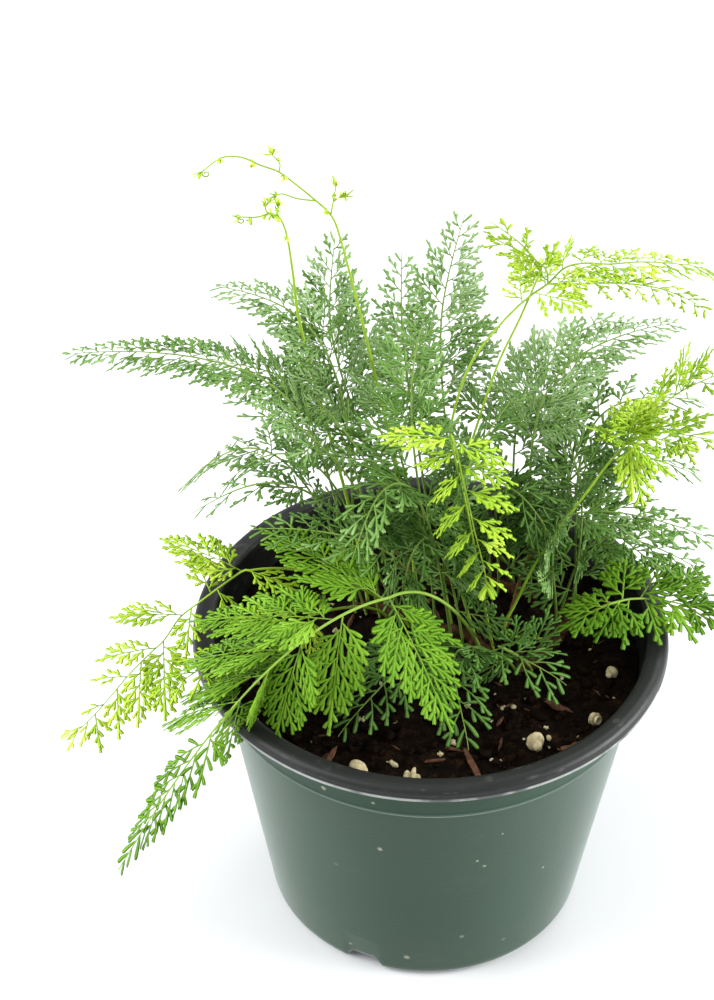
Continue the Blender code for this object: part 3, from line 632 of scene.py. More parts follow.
OUTER = [(0.0, 0.0008), (0.0462, 0.0008), (0.0478, 0.0), (0.0499, 0.0), (0.0519, 0.0022),
         (0.0524, 0.004), (wall_inner(0.016) + WALL, 0.016), (wall_inner(0.040) + WALL, 0.040),
         (wall_inner(RIDGE - 0.0016) + WALL, RIDGE - 0.0016), (RIDGE_INNER + WALL + 0.0003, RIDGE),
         (RIDGE_INNER + WALL + 0.0004, RIDGE + 0.0006), (RIDGE_INNER + WALL + 0.0001, RIDGE + 0.0011),
         (COLLAR_INNER + WALL - 0.0003, 0.1050), (COLLAR_INNER + WALL + 0.0001, 0.1068)]
LIP = [(LIP_RADIUS - 0.0016, 0.1070), (LIP_RADIUS - 0.0011, 0.1056), (LIP_RADIUS - 0.0002, 0.1055),
       (LIP_RADIUS, 0.1060), (LIP_RADIUS - 0.0003, 0.1070), (LIP_RADIUS - 0.0004, 0.1086),
       (LIP_RADIUS - 0.0014, 0.1096), (LIP_RADIUS - 0.0030, 0.1100), (COLLAR_INNER + 0.0014, 0.1097),
       (COLLAR_INNER + 0.0003, 0.1090)]
INNER = [(COLLAR_INNER - 0.0002, 0.1070), (RIDGE_INNER, RIDGE),
         (wall_inner(RIDGE - 0.002), RIDGE - 0.002), (wall_inner(0.016), 0.016),
         (wall_inner(0.005), 0.005), (wall_inner(0.003) - 0.003, 0.0019),
         (0.0, 0.0019)]


def turned(points, steps, wobble=0.0):
    """Corners of an outline turned round the axis, with the hand of a thin wall."""
    turns = np.arange(steps) * math.tau / steps
    radius, height = np.array(points).T
    swell = wobble * (np.sin(2 * turns + 0.7) + 0.6 * np.sin(3 * turns + 2.1))
    share = np.clip(height / POT_HEIGHT, 0, 1)[:, None] ** 2
    wide = radius[:, None] * (1 + share * swell[None, :])
    return np.stack([wide * np.cos(turns), wide * np.sin(turns),
                     np.repeat(height[:, None], steps, 1)], -1).reshape(-1, 3)


NOTCHES = (248, 8, 128)
NOTCH_HEIGHT = 0.0040
NOTCH_HALF = 7.0
NOTCH_FLANK = 2.4
SKIRT_HEIGHT = 0.1060  # the plastic is black above this
TURNS = 224


def over_notches(verts):
    """Lifts the foot into an arch over each drain notch. Angles are in degrees."""
    turn_by = np.degrees(np.arctan2(verts[:, 1], verts[:, 0]))
    foot = np.clip((np.hypot(verts[:, 0], verts[:, 1]) - 0.040) / 0.006, 0, 1)
    foot = foot * np.clip(1 - verts[:, 2] / 0.016, 0, 1)
    lifted = verts.copy()
    for notch in NOTCHES:
        away = np.abs((turn_by - notch + 180) % 360 - 180)
        lifted[:, 2] += NOTCH_HEIGHT * foot * np.clip((NOTCH_HALF - away) / NOTCH_FLANK, 0, 1)
    return lifted


outline = fillet(OUTER + LIP + INNER)
pot_verts = over_notches(turned(outline, TURNS, 0.0012))
pot = mesh_object("pot_shell", pot_verts, grid_faces(len(outline), TURNS), [POT_GREEN, POT_BLACK])
skirt = int(np.argmax(np.array(outline)[:, 1] > SKIRT_HEIGHT))
ring = np.arange(len(pot.data.polygons)) // TURNS
pot.data.polygons.foreach_set("material_index", (ring >= skirt).astype(np.int32))

# %% Close the pot's floor
# The outline's ends lie on the axis, so their rings are joined to one corner each.
solid = bmesh.new()
solid.from_mesh(pot.data)
bmesh.ops.remove_doubles(solid, verts=solid.verts, dist=1e-6)
bmesh.ops.recalc_face_normals(solid, faces=solid.faces)
solid.to_mesh(pot.data)
solid.free()
pot.data.shade_smooth()
pot.data.set_sharp_from_angle(angle=math.radians(40))
stands_for(pot, "pot_plastic", "pot")
print("pot outline points:", len(outline), "first black ring:", skirt)
print("pot faces:", len(pot.data.polygons), "drain notches at", NOTCHES, "degrees")

# %% [markdown]
# ## The soil
# Soil in a pot is a rough field: hollows between lumps, and lumps between
# crumbs. A disc of rings gets its height from layered noise, and its skirt
# follows the wall down to the floor and over the notches. Loose crumbs, perlite
# grains and shreds of bark lie on it as separate small bodies, as they do in
# the real mix.

# %% Soil surface
def soil_height(x, y):
    """Height of the soil at a place, in metres."""
    here = Vector((x, y, 0.0))
    broad = noise.noise(here * 55) * 0.0009
    lumps = noise.noise(here * 190 + Vector((3, 1, 0))) * 0.0010
    fine = noise.noise(here * 520 + Vector((0, 7, 0))) * 0.0006
    return SOIL_TOP - 0.0004 + broad + lumps + fine


SOIL_RINGS, SOIL_TURNS = 110, 300
soil_edge = RIDGE_INNER + 0.0007 - GAP
rows = []
for i in range(SOIL_RINGS):
    radius = min(soil_edge * (i + 0.02) / (SOIL_RINGS - 1), soil_edge)
    for j in range(SOIL_TURNS):
        turn_by = math.tau * j / SOIL_TURNS
        x, y = radius * math.cos(turn_by), radius * math.sin(turn_by)
        rows.append((x, y, soil_height(x, y)))
skirt_line = [(RIDGE_INNER - GAP, RIDGE), (wall_inner(RIDGE - 0.0022) - GAP, RIDGE - 0.0025),
              (wall_inner(0.016) - GAP, 0.016),
              (wall_inner(0.005) - GAP, 0.005), (wall_inner(0.003) - 0.003, 0.0023), (0.0002, 0.0023)]
soil_verts = np.vstack([np.array(rows), over_notches(turned(skirt_line, SOIL_TURNS))])
soil_faces = grid_faces(SOIL_RINGS + len(skirt_line), SOIL_TURNS)
soil = mesh_object("soil_bed", soil_verts, soil_faces[:, ::-1], [SOIL])
stands_for(soil, "potting_soil", "soil")
print("soil faces:", len(soil_faces))

# %% Loose crumbs
def ball_points(detail):
    """Corners and triangles of a small ball made of triangles."""
    bpy.ops.mesh.primitive_ico_sphere_add(subdivisions=detail, radius=1)
    ball = bpy.context.object
    verts = np.array([v.co for v in ball.data.vertices])
    faces = np.array([tuple(p.vertices) for p in ball.data.polygons])
    bpy.data.objects.remove(ball, do_unlink=True)
    return verts, faces


def lumps(name, spots, detail, finish, seed, rough):
    """Many rough lumps in one mesh. A spot is x, y, z and three half sizes and a turn."""
    rng = np.random.default_rng(seed)
    ball, tris = ball_points(detail)
    verts, faces = [], []
    for spot in spots:
        x, y, z, a, b, c, turn_by = spot
        shape = ball * (1 + rough * rng.standard_normal((len(ball), 1)))
        shape = shape * (1 + 0.35 * np.sin(ball @ rng.standard_normal((3, 1)) * 3 + rng.uniform(0, 6)))
        shape = shape * np.array([a, b, c])
        cos, sin = math.cos(turn_by), math.sin(turn_by)
        turn_matrix = np.array([[cos, sin, 0], [-sin, cos, 0], [0, 0, 1]])
        faces.append(tris + len(ball) * len(verts))
        verts.append(shape @ turn_matrix + np.array([x, y, z]))
    return mesh_object(name, np.vstack(verts), np.vstack(faces), [finish], smooth=False)


def scattered(count, seed, low, high, flat=0.7):
    """Places on the soil for crumbs of a range of sizes."""
    rng = np.random.default_rng(seed)
    made = []
    while len(made) < count:
        x, y = rng.uniform(-0.067, 0.067, 2)
        size = low + (high - low) * rng.uniform() ** 3
        if math.hypot(x, y) < 0.0664 - size:
            half = size / 2
            made.append((x, y, soil_height(x, y) + half * 0.25, half * rng.uniform(0.8, 1.4),
                         half * rng.uniform(0.6, 1.0), half * flat, rng.uniform(0, 3.1)))
    return made


crumbs = lumps("soil_crumbs", scattered(1500, 11, 0.0008, 0.0042), 1, CRUMB, 12, 0.10)
stands_for(crumbs, "potting_soil")
specks = lumps("perlite_crumbs", scattered(90, 21, 0.0008, 0.0030, 0.8), 2, PERLITE, 22, 0.07)
stands_for(specks, "perlite")
shreds = [(x, y, z, a * 1.7, b * 0.45, c * 0.35, turn_by)
          for x, y, z, a, b, c, turn_by in scattered(60, 31, 0.0015, 0.0055)]
chips = lumps("bark_shreds", shreds, 1, BARK, 32, 0.12)
stands_for(chips, "bark")
print("crumbs:", len(crumbs.data.polygons), "perlite:", len(specks.data.polygons))

# %% Large grains and chips
for i in range(6):
    node = f"perlite_grain_{i + 1}"
    low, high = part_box(node)
    middle, half = (low + high) / 2, (high - low) / 2
    spot = (middle.x, middle.y, middle.z, half.x * 0.92, half.y * 0.92, half.z * 0.92, 0.0)
    grain = lumps(f"perlite_lump_{i + 1}", [spot], 4, PERLITE, 40 + i, 0.025)
    grain.data.shade_smooth()
    stands_for(grain, "perlite", node)
for i, (length, turn_by) in enumerate([(0.012, 110), (0.009, 15), (0.008, 60), (0.010, 150)]):
    node = f"bark_chip_{i + 1}"
    low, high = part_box(node)
    middle = (low + high) / 2
    spot = (middle.x, middle.y, middle.z, length / 2, 0.0013, 0.0006, math.radians(turn_by))
    chip = lumps(f"bark_splinter_{i + 1}", [spot], 3, BARK, 50 + i, 0.06)
    stands_for(chip, "bark", node)
print("large grains and chips placed")

# %% [markdown]
# ## Lines and tubes
# Stalks, ribs and rhizomes are all a line with a radius that changes. A curve
# object with a bevel can do that, but a frond needs its stalk, ribs and
# leaflets in one mesh with one set of numbers. So a tube is swept here from
# points: rings of corners, turned to follow the line without twisting.

# %% Sweeping a tube
def swept(points, radii, sides=8, flat=1.0):
    """Corners and quads of a tube along points, closed at both ends."""
    points = np.asarray(points, float)
    ahead = unit(np.gradient(points, axis=0))
    up = np.zeros_like(ahead)
    guide = np.array([0.0, 0.0, 1.0])
    if abs(ahead[0, 2]) > 0.9:
        guide = np.array([1.0, 0.0, 0.0])
    for i, direction in enumerate(ahead):
        guide = guide - direction * float(guide @ direction)
        guide = guide / np.linalg.norm(guide)
        up[i] = guide
    side = np.cross(up, ahead)
    turns = np.arange(sides) * math.tau / sides
    radii = np.broadcast_to(np.asarray(radii, float), len(points))[:, None, None]
    rings = (points[:, None] + side[:, None] * np.cos(turns)[None, :, None] * radii
             + up[:, None] * np.sin(turns)[None, :, None] * radii * flat)
    faces = [grid_faces(len(points), sides)[:, ::-1]]
    for row in (0, len(points) - 1):
        ring = row * sides + np.arange(sides)
        fan = np.array([(ring[0], *ring[k:k + 3]) for k in range(1, sides - 2, 2)])
        faces.append(fan[:, ::-1] if row == 0 else fan)
    return rings.reshape(-1, 3), np.vstack(faces)


print("tube helper ready")

# %% [markdown]
# ## Rhizomes
# The fern creeps over the soil on stems as thick as a pencil lead, covered in
# soft brown scales, which is why such ferns are named after furry feet. The
# stem is a lumpy tube. Its fur is hundreds of small pointed scales that leave
# the bark at a slant, thinner than hair particles would need to be to show.

# %% Rhizomes
def smooth_line(knots, count):
    """A smooth line through points, with count steps between each pair."""
    ends = np.vstack([2 * knots[0] - knots[1], knots, 2 * knots[-1] - knots[-2]])
    made = []
    for i in range(len(knots) - 1):
        a, b, c, d = ends[i:i + 4]
        for t in np.linspace(0, 1, count, endpoint=i == len(knots) - 2):
            made.append(0.5 * (2 * b + (c - a) * t + (2 * a - 5 * b + 4 * c - d) * t * t
                               + (3 * b - a - 3 * c + d) * t ** 3))
    return np.array(made)


def smooth_route(route, height, count):
    """A smooth level line through plan points in millimetres."""
    line = smooth_line(np.array(route, float) / 1000, count)
    return np.column_stack([line, np.full(len(line), height)])


def scale_fur(line, radius, count, rng):
    """Slender pointed scales round a line."""
    spots = rng.integers(1, len(line) - 1, count)
    ahead = unit(np.gradient(line, axis=0))[spots]
    turns = rng.uniform(0, math.tau, count)
    side = unit(np.cross(np.array([0, 0, 1.0]), ahead))
    out = side * np.cos(turns)[:, None] + np.array([0, 0, 1.0]) * np.sin(turns)[:, None]
    wide = unit(np.cross(out, ahead)) * rng.uniform(0.00010, 0.00022, count)[:, None]
    foot = line[spots] + out * radius * 0.9
    reach = rng.uniform(0.0008, 0.0021, count)[:, None]
    lean = ahead * rng.uniform(0.2, 0.9, count)[:, None] * rng.choice([-1, 1], (count, 1))
    tip = foot + unit(out + lean) * reach
    lift = out * 0.00006
    verts = np.stack([foot - wide, foot + lift, foot + wide, tip], 1).reshape(-1, 3)
    start = np.arange(count)[:, None] * 4
    faces = np.vstack([start + np.array(side) for side in ([0, 1, 3], [1, 2, 3], [2, 0, 3])])
    return verts, faces


for order, (name, route) in enumerate(RHIZOMES.items()):
    rng = np.random.default_rng(60 + order)
    line = smooth_route(route, SOIL_TOP + GAP + RHIZOME_RADIUS, 16)
    line[:, 2] -= 0.0006
    along = np.linspace(0, 1, len(line))
    radii = RHIZOME_RADIUS * (0.82 + 0.10 * np.sin(along * 30) + 0.08 * rng.standard_normal(len(line)))
    radii *= np.minimum(1, 0.35 + 4 * np.minimum(along, 1 - along))
    verts, quads = swept(line, radii, 14)
    tris = np.vstack([quads[:, [0, 1, 2]], quads[:, [0, 2, 3]]])
    fur_verts, fur_faces = scale_fur(line, RHIZOME_RADIUS * 0.85, 1500, rng)
    stem = mesh_object("furry_stem_" + name, np.vstack([verts, fur_verts]),
                       np.vstack([tris, fur_faces + len(verts)]), [RHIZOME])
    stands_for(stem, "rhizome", "rhizome_" + name)
    print("rhizome", name, "faces", len(stem.data.polygons))

# %% [markdown]
# ## The line of a frond
# A frond has a bare stalk that rises from the rhizome, and a midrib that arches
# over from the fork to the tip. Both are Hermite curves, which take two ends
# and the direction at each: the same sums as in the working model, so that the
# finished frond lies where the plain one does.

# %% Frond lines
def polar_point(place):
    """Angle, distance outside the lip and height above it, to a point."""
    angle, out, up = place
    radius = LIP_RADIUS + out / 1000
    turn_by = math.radians(angle)
    return Vector((radius * math.cos(turn_by), radius * math.sin(turn_by), POT_HEIGHT + up / 1000))


def hermite(a, b, leave, arrive, share):
    s, s2, s3 = share, share ** 2, share ** 3
    return (a * (2 * s3 - 3 * s2 + 1) + leave * (s3 - 2 * s2 + s)
            + b * (3 * s2 - 2 * s3) + arrive * (s3 - s2))


def along_route(route, share):
    """Point and direction at a share of a route's length."""
    points = [Vector((x, y, 0)) / 1000 for x, y in route]
    runs = [(b - a).length for a, b in zip(points, points[1:])]
    left = share * sum(runs)
    for a, b, run in zip(points, points[1:], runs):
        if left <= run or b is points[-1]:
            return a.lerp(b, left / run), (b - a).normalized()
        left -= run


def even_line(knots, count):
    """A smooth line through points in millimetres, with evenly spaced points."""
    line = smooth_line(np.array(knots, float) / 1000, 16)
    place = np.concatenate([[0], np.cumsum(np.linalg.norm(np.diff(line, axis=0), axis=1))])
    even = np.linspace(0, place[-1], count)
    return np.stack([np.interp(even, place, axis) for axis in line.T], 1)


def frond_line(name, row):
    """Points of the stalk and of the midrib, and the blade's sideways direction."""
    base, run = along_route(RHIZOMES[row.rhizome], row.along)
    root = base + Vector((-run.y, run.x, 0)) * row.side * (RHIZOME_RADIUS + STALK_WIDTH + GAP) * 0.5
    root.z = SOIL_TOP + 0.001
    fork, tip = polar_point(row.fork), polar_point(row.tip)
    bent = even_line(LINES[name], 61) if name in LINES else None
    if name in LINES:
        fork, tip = Vector(bent[0]), Vector(bent[-1])
    heading = tip - root
    side = Vector((-heading.y, heading.x, 0)).normalized()
    stalk, blade = fork - root, tip - fork
    if name in LINES:
        blade = (Vector(bent[6]) - fork).normalized() * blade.length
    turn_at_fork = (stalk.normalized() * 0.6 + blade.normalized()).normalized()
    leave_root = stalk * 0.5 + Vector((0, 0, stalk.length * 0.6))
    reach_fork = turn_at_fork * stalk.length * 0.8
    leave_fork = turn_at_fork * blade.length * 0.9 + Vector((0, 0, row.arch * blade.length))
    reach_tip = blade * 0.9 - Vector((0, 0, (0.25 + row.arch) * blade.length))
    stalk_line = np.array([hermite(root, fork, leave_root, reach_fork, s) for s in np.linspace(0, 1, 25)])
    if name in STALKS:
        stalk_line = even_line([root * 1000, *STALKS[name], fork * 1000], 25)
    arched = np.array([hermite(fork, tip, leave_fork, reach_tip, s) for s in np.linspace(0, 1, 61)])
    return stalk_line, arched if bent is None else bent, np.array(side)


stalk_line, blade_line, side = frond_line("frond_front_left", FRONDS["frond_front_left"])
print("front left blade:", round(float(np.linalg.norm(np.diff(blade_line, axis=0), axis=1).sum()), 3), "m")

# %% [markdown]
# ## Shoots
# The blade divides again and again: midrib, pinnae, pinnules, and last the
# strap-shaped segments. Every level is the same thing, a slightly bent shoot
# with smaller shoots on both sides in turn, so one class holds a whole level
# as arrays. A shoot is a parabola: it starts along one direction and sags or
# curves by its bend. Shoots too short to divide again become segments.

# %% Shoots on shoots
class Shoots:
    """Many shoots at once: start, heading, upper side, length, bend and tint."""

    def __init__(self, start, ahead, up, length, bend, tint):
        self.start, self.ahead, self.up = start, ahead, up
        self.length, self.bend, self.tint = length, bend, tint

    def __len__(self):
        return len(self.length)

    def pick(self, which):
        return Shoots(self.start[which], self.ahead[which], self.up[which],
                      self.length[which], self.bend[which], self.tint[which])

    def plus(self, other):
        """These shoots and others as one set."""
        mine = (self.start, self.ahead, self.up, self.length, self.bend, self.tint)
        theirs = (other.start, other.ahead, other.up, other.length, other.bend, other.tint)
        return Shoots(*(np.concatenate(pair) for pair in zip(mine, theirs)))

    def at(self, share):
        """Point, direction, upper side and left side at a share of each length."""
        share = np.asarray(share, float).reshape(-1, 1)
        point = self.start + (self.ahead * share + self.bend * share ** 2) * self.length[:, None]
        ahead = unit(self.ahead + 2 * self.bend * share)
        up = unit(self.up - ahead * dot(self.up, ahead))
        return point, ahead, up, np.cross(up, ahead)


def leave(point, ahead, up, side, hand, angle, roll, length, droop, hook, tint):
    """New shoots that leave others at an angle on their left (+1) or right (-1)."""
    hand, angle = hand[:, None], angle[:, None]
    heading = unit(ahead * np.cos(angle) + side * hand * np.sin(angle))
    across = unit(np.cross(up, heading))
    tilted = unit(up * np.cos(roll)[:, None] + across * np.sin(roll)[:, None])
    forward = ahead - heading * dot(ahead, heading)
    bend = forward * hook[:, None] - np.array([0.0, 0.0, 1.0]) * droop[:, None]
    return Shoots(point, heading, unit(tilted - heading * dot(tilted, heading)), length, bend, tint)


# A habit says how a blade divides, in metres and degrees. Gap lies between
# pinnae, spacing and close between the shoots on a pinna and on a pinnule.
# Reach is a shoot's length as a share of its parent's, swing its angle, and
# fall how fast shoots shorten towards the tip. Strap and width are a segment's.
# Droop and hook are the sag and the forward curve. A shoot shorter than limit
# is a segment, and flutter is how much shoots twist.
Habit = namedtuple("Habit", "gap spacing close reach swing fall strap width droop hook limit flutter")
HABITS = {
    "mature": Habit(0.0034, 0.0022, 0.00135, 0.45, 50, 0.85, 0.0058, 0.00128, 0.05, 0.20, 0.0058, 0.10),
    "shade": Habit(0.0042, 0.0018, 0.00120, 0.40, 48, 0.75, 0.0042, 0.00108, 0.05, 0.18, 0.0040, 0.22),
    "lime": Habit(0.0042, 0.0018, 0.00130, 0.46, 48, 0.75, 0.0037, 0.00115, 0.04, 0.14, 0.0034, 0.20),
    "broad": Habit(0.0035, 0.0023, 0.00150, 0.46, 50, 0.80, 0.0056, 0.00130, 0.05, 0.18, 0.0054, 0.16),
    "airy": Habit(0.0056, 0.0021, 0.00128, 0.38, 48, 0.80, 0.0038, 0.00096, 0.05, 0.18, 0.0038, 0.22),
    "fine": Habit(0.0027, 0.0016, 0.00110, 0.42, 44, 0.80, 0.0032, 0.00086, 0.05, 0.22, 0.0032, 0.18),
    "young": Habit(0.0030, 0.0017, 0.00120, 0.44, 46, 0.75, 0.0031, 0.00095, 0.04, 0.14, 0.0030, 0.24),
    "fresh": Habit(0.0026, 0.0019, 0.00138, 0.50, 48, 0.68, 0.0038, 0.00145, 0.05, 0.16, 0.0037, 0.14),
    "full": Habit(0.0034, 0.0019, 0.00130, 0.60, 52, 0.70, 0.0054, 0.00155, 0.05, 0.18, 0.0052, 0.12),
}
# Fronds whose habit isn't that of their tone.
OWN_HABIT = {
    "broad": "crown_front crown_low left_under centre_right right_inner front_low front_left_low"
             " front_right_low",
    "airy": "left_middle left_inner left_low left_droop_short crown_back",
    "fine": "back_centre back_small back_left far_left right_back left_high left_fine",
    "young": "top_lime",
    "fresh": "centre_lime",
    "full": "right_low",
}
HABIT_OF = {"frond_" + name: habit for habit, names in OWN_HABIT.items() for name in names.split()}


def end_straps(shoots, habit):
    """One segment that carries each shoot on past its end."""
    point, ahead, up, _ = shoots.at(np.full(len(shoots), 0.96))
    count = len(shoots)
    return Shoots(point, ahead, up, np.full(count, habit.strap * 0.6), np.zeros((count, 3)), shoots.tint)


def side_shoots(parents, habit, rng, level):
    """The next level: shoots on both sides of each parent in turn."""
    spacing = habit.spacing if level == 1 else habit.close
    counts = np.maximum((parents.length * 0.86 / spacing).astype(int), 2)
    which = np.repeat(np.arange(len(parents)), counts)
    order = np.arange(len(which)) - np.repeat(np.cumsum(counts) - counts, counts)
    share = 0.04 + 0.91 * (order + 0.5) / counts[which]
    hand = np.where((order + which) % 2 == 0, 1.0, -1.0)
    point, ahead, up, side = parents.pick(which).at(share)
    count = len(which)
    shape = (1 - share) ** habit.fall * np.minimum(1, 0.72 + share * 2.0)
    long = parents.length[which] * habit.reach * shape * rng.uniform(0.88, 1.12, count)
    least = np.minimum(habit.strap * (0.92 - 0.38 * share), parents.length[which] * 0.72)
    long = np.maximum(long, least)
    angle = np.radians(habit.swing - 16 * share - 7 * (level - 1) + rng.normal(0, 4, count))
    flutter = rng.normal(0, habit.flutter, count)
    tint = parents.tint[which] + rng.normal(0, 0.05, count)
    made = leave(point, ahead, up, side, hand, angle, flutter, long,
                 np.full(count, habit.droop), np.full(count, habit.hook), tint)
    return made.plus(end_straps(parents, habit))


# Outlines of a rib and of a segment: share of the length, share of the width.
RIB = (np.array([0, 0.25, 0.5, 0.72, 0.86, 0.95, 1.0]), np.array([0.42, 0.40, 0.44, 0.66, 0.95, 1.0, 0.62]))
WINGED = (np.array([0, 0.2, 0.45, 0.7, 0.9, 1.0]), np.array([0.36, 0.52, 0.72, 0.92, 1.0, 0.60]))
STRAP = (np.array([0, 0.28, 0.60, 0.88, 1.0]), np.array([0.42, 0.74, 0.97, 1.0, 0.60]))


def straps(shoots, outline, width, thick, fold, notch):
    """Thin closed straps along shoots, as corners, quads and stored numbers."""
    shares, wide = outline
    rings, vein, along = [], [], []
    for k, (share, half) in enumerate(zip(shares, wide * width / 2)):
        point, ahead, up, side = shoots.at(np.full(len(shoots), share))
        back = ahead * (notch * shoots.length[:, None]) if k == len(shares) - 1 else 0.0
        edge = side * half
        lift = up * half * fold
        rings.append(np.stack([point + edge + lift, point + up * thick / 2 - back,
                               point - edge + lift, point - up * thick / 2 - back], 1))
        vein.append([0, 1, 0, 1])
        along.append([share] * 4)
    rings = np.stack(rings, 1)
    count, sections = len(shoots), len(shares)
    one = np.vstack([grid_faces(sections, 4)[:, ::-1], [[0, 1, 2, 3]],
                     [[(sections - 1) * 4 + i for i in (3, 2, 1, 0)]]])
    faces = (np.arange(count)[:, None, None] * sections * 4 + one[None]).reshape(-1, 4)
    body = grid_places(sections, 4)[:, ::-1] * (0.92, 0.72) + (0.04, 0.14)
    caps = [SQUARE * (0.4, 0.08) + (0.3, low) for low in (0.03, 0.89)]
    places = np.tile(np.concatenate([body, caps]), (count, 1, 1))
    cells = np.repeat(np.arange(count), len(one))
    numbers = {"vein": np.tile(np.ravel(vein), count), "along": np.tile(np.ravel(along), count),
               "tint": np.repeat(shoots.tint, sections * 4)}
    return rings.reshape(-1, 3), faces, numbers, places, cells


print("habits:", ", ".join(HABITS))

# %% [markdown]
# ## Growing a frond
# The pinnae leave the midrib in turn, longest at the fork, shorter and more
# forward towards the tip, and each hangs a little at its end. Growth then goes
# on level by level until every shoot is shorter than a segment. All of it goes
# into one mesh, because a frond is one organ, and its stored numbers tell the
# leaf finish which corner is stalk, rib or segment.

# %% Grow one frond
def pinnae_on(blade_line, side, row, width, gap, rng, start=0.015):
    """The first shoots along a midrib, from a share of its length on."""
    runs = np.linalg.norm(np.diff(blade_line, axis=0), axis=1)
    total = float(runs.sum())
    place = np.concatenate([[0], np.cumsum(runs)]) / total
    count = max(int(total * (1 - start) / gap), 4)
    share = start + (0.985 - start) * (np.arange(count) / count) ** 0.85
    point = np.stack([np.interp(share, place, blade_line[:, k]) for k in range(3)], 1)
    ahead = unit(np.stack([np.interp(share, place, g) for g in np.gradient(blade_line, axis=0).T], 1))
    across = np.broadcast_to(side, ahead.shape)
    across = unit(across - ahead * dot(across, ahead))
    up = np.cross(ahead, across)
    hand = np.where(np.arange(count) % 2 == 0, 1.0, -1.0)
    least = 0.0021 if row.tone == "shade" else 0.0032
    long = width / 2000 * (1 - share) ** 0.82 * rng.uniform(0.9, 1.1, count) + least
    wide_open = 52 if row.tone == "mature" else 64
    angle = np.radians(wide_open - 28 * share + rng.normal(0, 4, count))
    twist = rng.normal(0, 0.20, count)
    tint = row.tint + rng.normal(0, 0.10, count)
    if row.tone == "mature":
        tint = tint - 0.26 * share
    return leave(point, ahead, up, across, hand, angle, twist, long,
                 0.14 * rng.uniform(0.6, 1.4, count), np.full(count, 0.20), tint)


def aimed_pinnae(blade_line, ends, row, rng):
    """Pinnae that start at a share of the midrib and end at known points."""
    shares = np.array([share for share, _ in ends])
    goals = np.array([end for _, end in ends], float) / 1000
    place = np.linspace(0, 1, len(blade_line))
    start = np.stack([np.interp(shares, place, axis) for axis in blade_line.T], 1)
    chord = goals - start
    length = np.linalg.norm(chord, axis=1)
    droop = np.array([0.0, 0.0, 0.16])
    ahead = chord / length[:, None] + droop
    up = unit(np.array([0.0, 0.0, 1.0]) - unit(ahead) * unit(ahead)[:, 2:])
    return Shoots(start, ahead, up, length, np.tile(-droop, (len(ends), 1)),
                  row.tint + rng.normal(0, 0.06, len(ends)))


TUBE_STRIP = 0.06  # share of the flat layout that the tubes take


def join(parts):
    """Corners, quads, numbers and flat places of several parts as one.

    Each strap has its own cell of a square grid, and each tube its own strip below."""
    verts, faces, numbers, places, start = [], [], {}, [], 0
    tubes = sum(cells is None for *_, cells in parts)
    total = sum(cells[-1] + 1 for *_, cells in parts if cells is not None)
    grid = math.ceil(math.sqrt(total))
    tube, first = 0, 0
    for part_verts, part_faces, part_numbers, part_places, cells in parts:
        verts.append(part_verts)
        faces.append(part_faces + start)
        start += len(part_verts)
        for key, values in part_numbers.items():
            numbers.setdefault(key, []).append(values)
        if cells is None:
            strip = TUBE_STRIP / tubes
            places.append(part_places[:, :, ::-1] * (1.0, strip) + (0.0, strip * tube))
            tube += 1
        else:
            spot = np.stack([(cells + first) % grid, (cells + first) // grid], -1)[:, None]
            places.append((part_places + spot) / grid * (1.0, 1 - TUBE_STRIP) + (0.0, TUBE_STRIP))
            first += cells[-1] + 1
    numbers = {key: np.concatenate(values) for key, values in numbers.items()}
    return np.vstack(verts), np.vstack(faces), numbers, np.concatenate(places)


def tube_part(line, radii, tint, flat=0.85):
    """A stalk or rib as a tube with its stored numbers."""
    verts, faces = swept(line, radii, 8, flat)
    ones, zeros = np.ones(len(verts)), np.zeros(len(verts))
    body = grid_places(len(line), 8)[:, ::-1] * (0.92, 0.90) + (0.04, 0.05)
    caps = [SQUARE * (0.06, 0.02) + (0.1 * k, low) for low in (0.015, 0.965) for k in range(1, 4)]
    numbers = {"vein": zeros, "along": zeros, "tint": ones * tint, "wood": ones}
    return verts, faces, numbers, np.concatenate([body, caps]), None


def leafy_parts(first, habit, rng, levels=4):
    """Grows shoots on shoots, and returns every strap of them."""
    parts, shoots, level = [], first, 1
    while len(shoots) and level <= levels:
        long = shoots.length > habit.limit * (1.45 if level == 1 else 1.0)
        short = shoots.pick(~long)
        if len(short):
            part = straps(short, STRAP, habit.width, 0.00028, 0.22, 0.10)
            part[2]["wood"] = np.zeros(len(part[0]))
            parts.append(part)
        shoots = shoots.pick(long)
        if len(shoots):
            outline = RIB if level == 1 else WINGED
            part = straps(shoots, outline, habit.width, 0.00042, 0.12, 0.03)
            fade = 1 - np.clip(part[2]["along"] * 1.5, 0, 1)
            part[2]["wood"] = fade * (0.75 if level == 1 else 0.35)
            parts.append(part)
            shoots = side_shoots(shoots, habit, rng, level)
        level += 1
    return parts


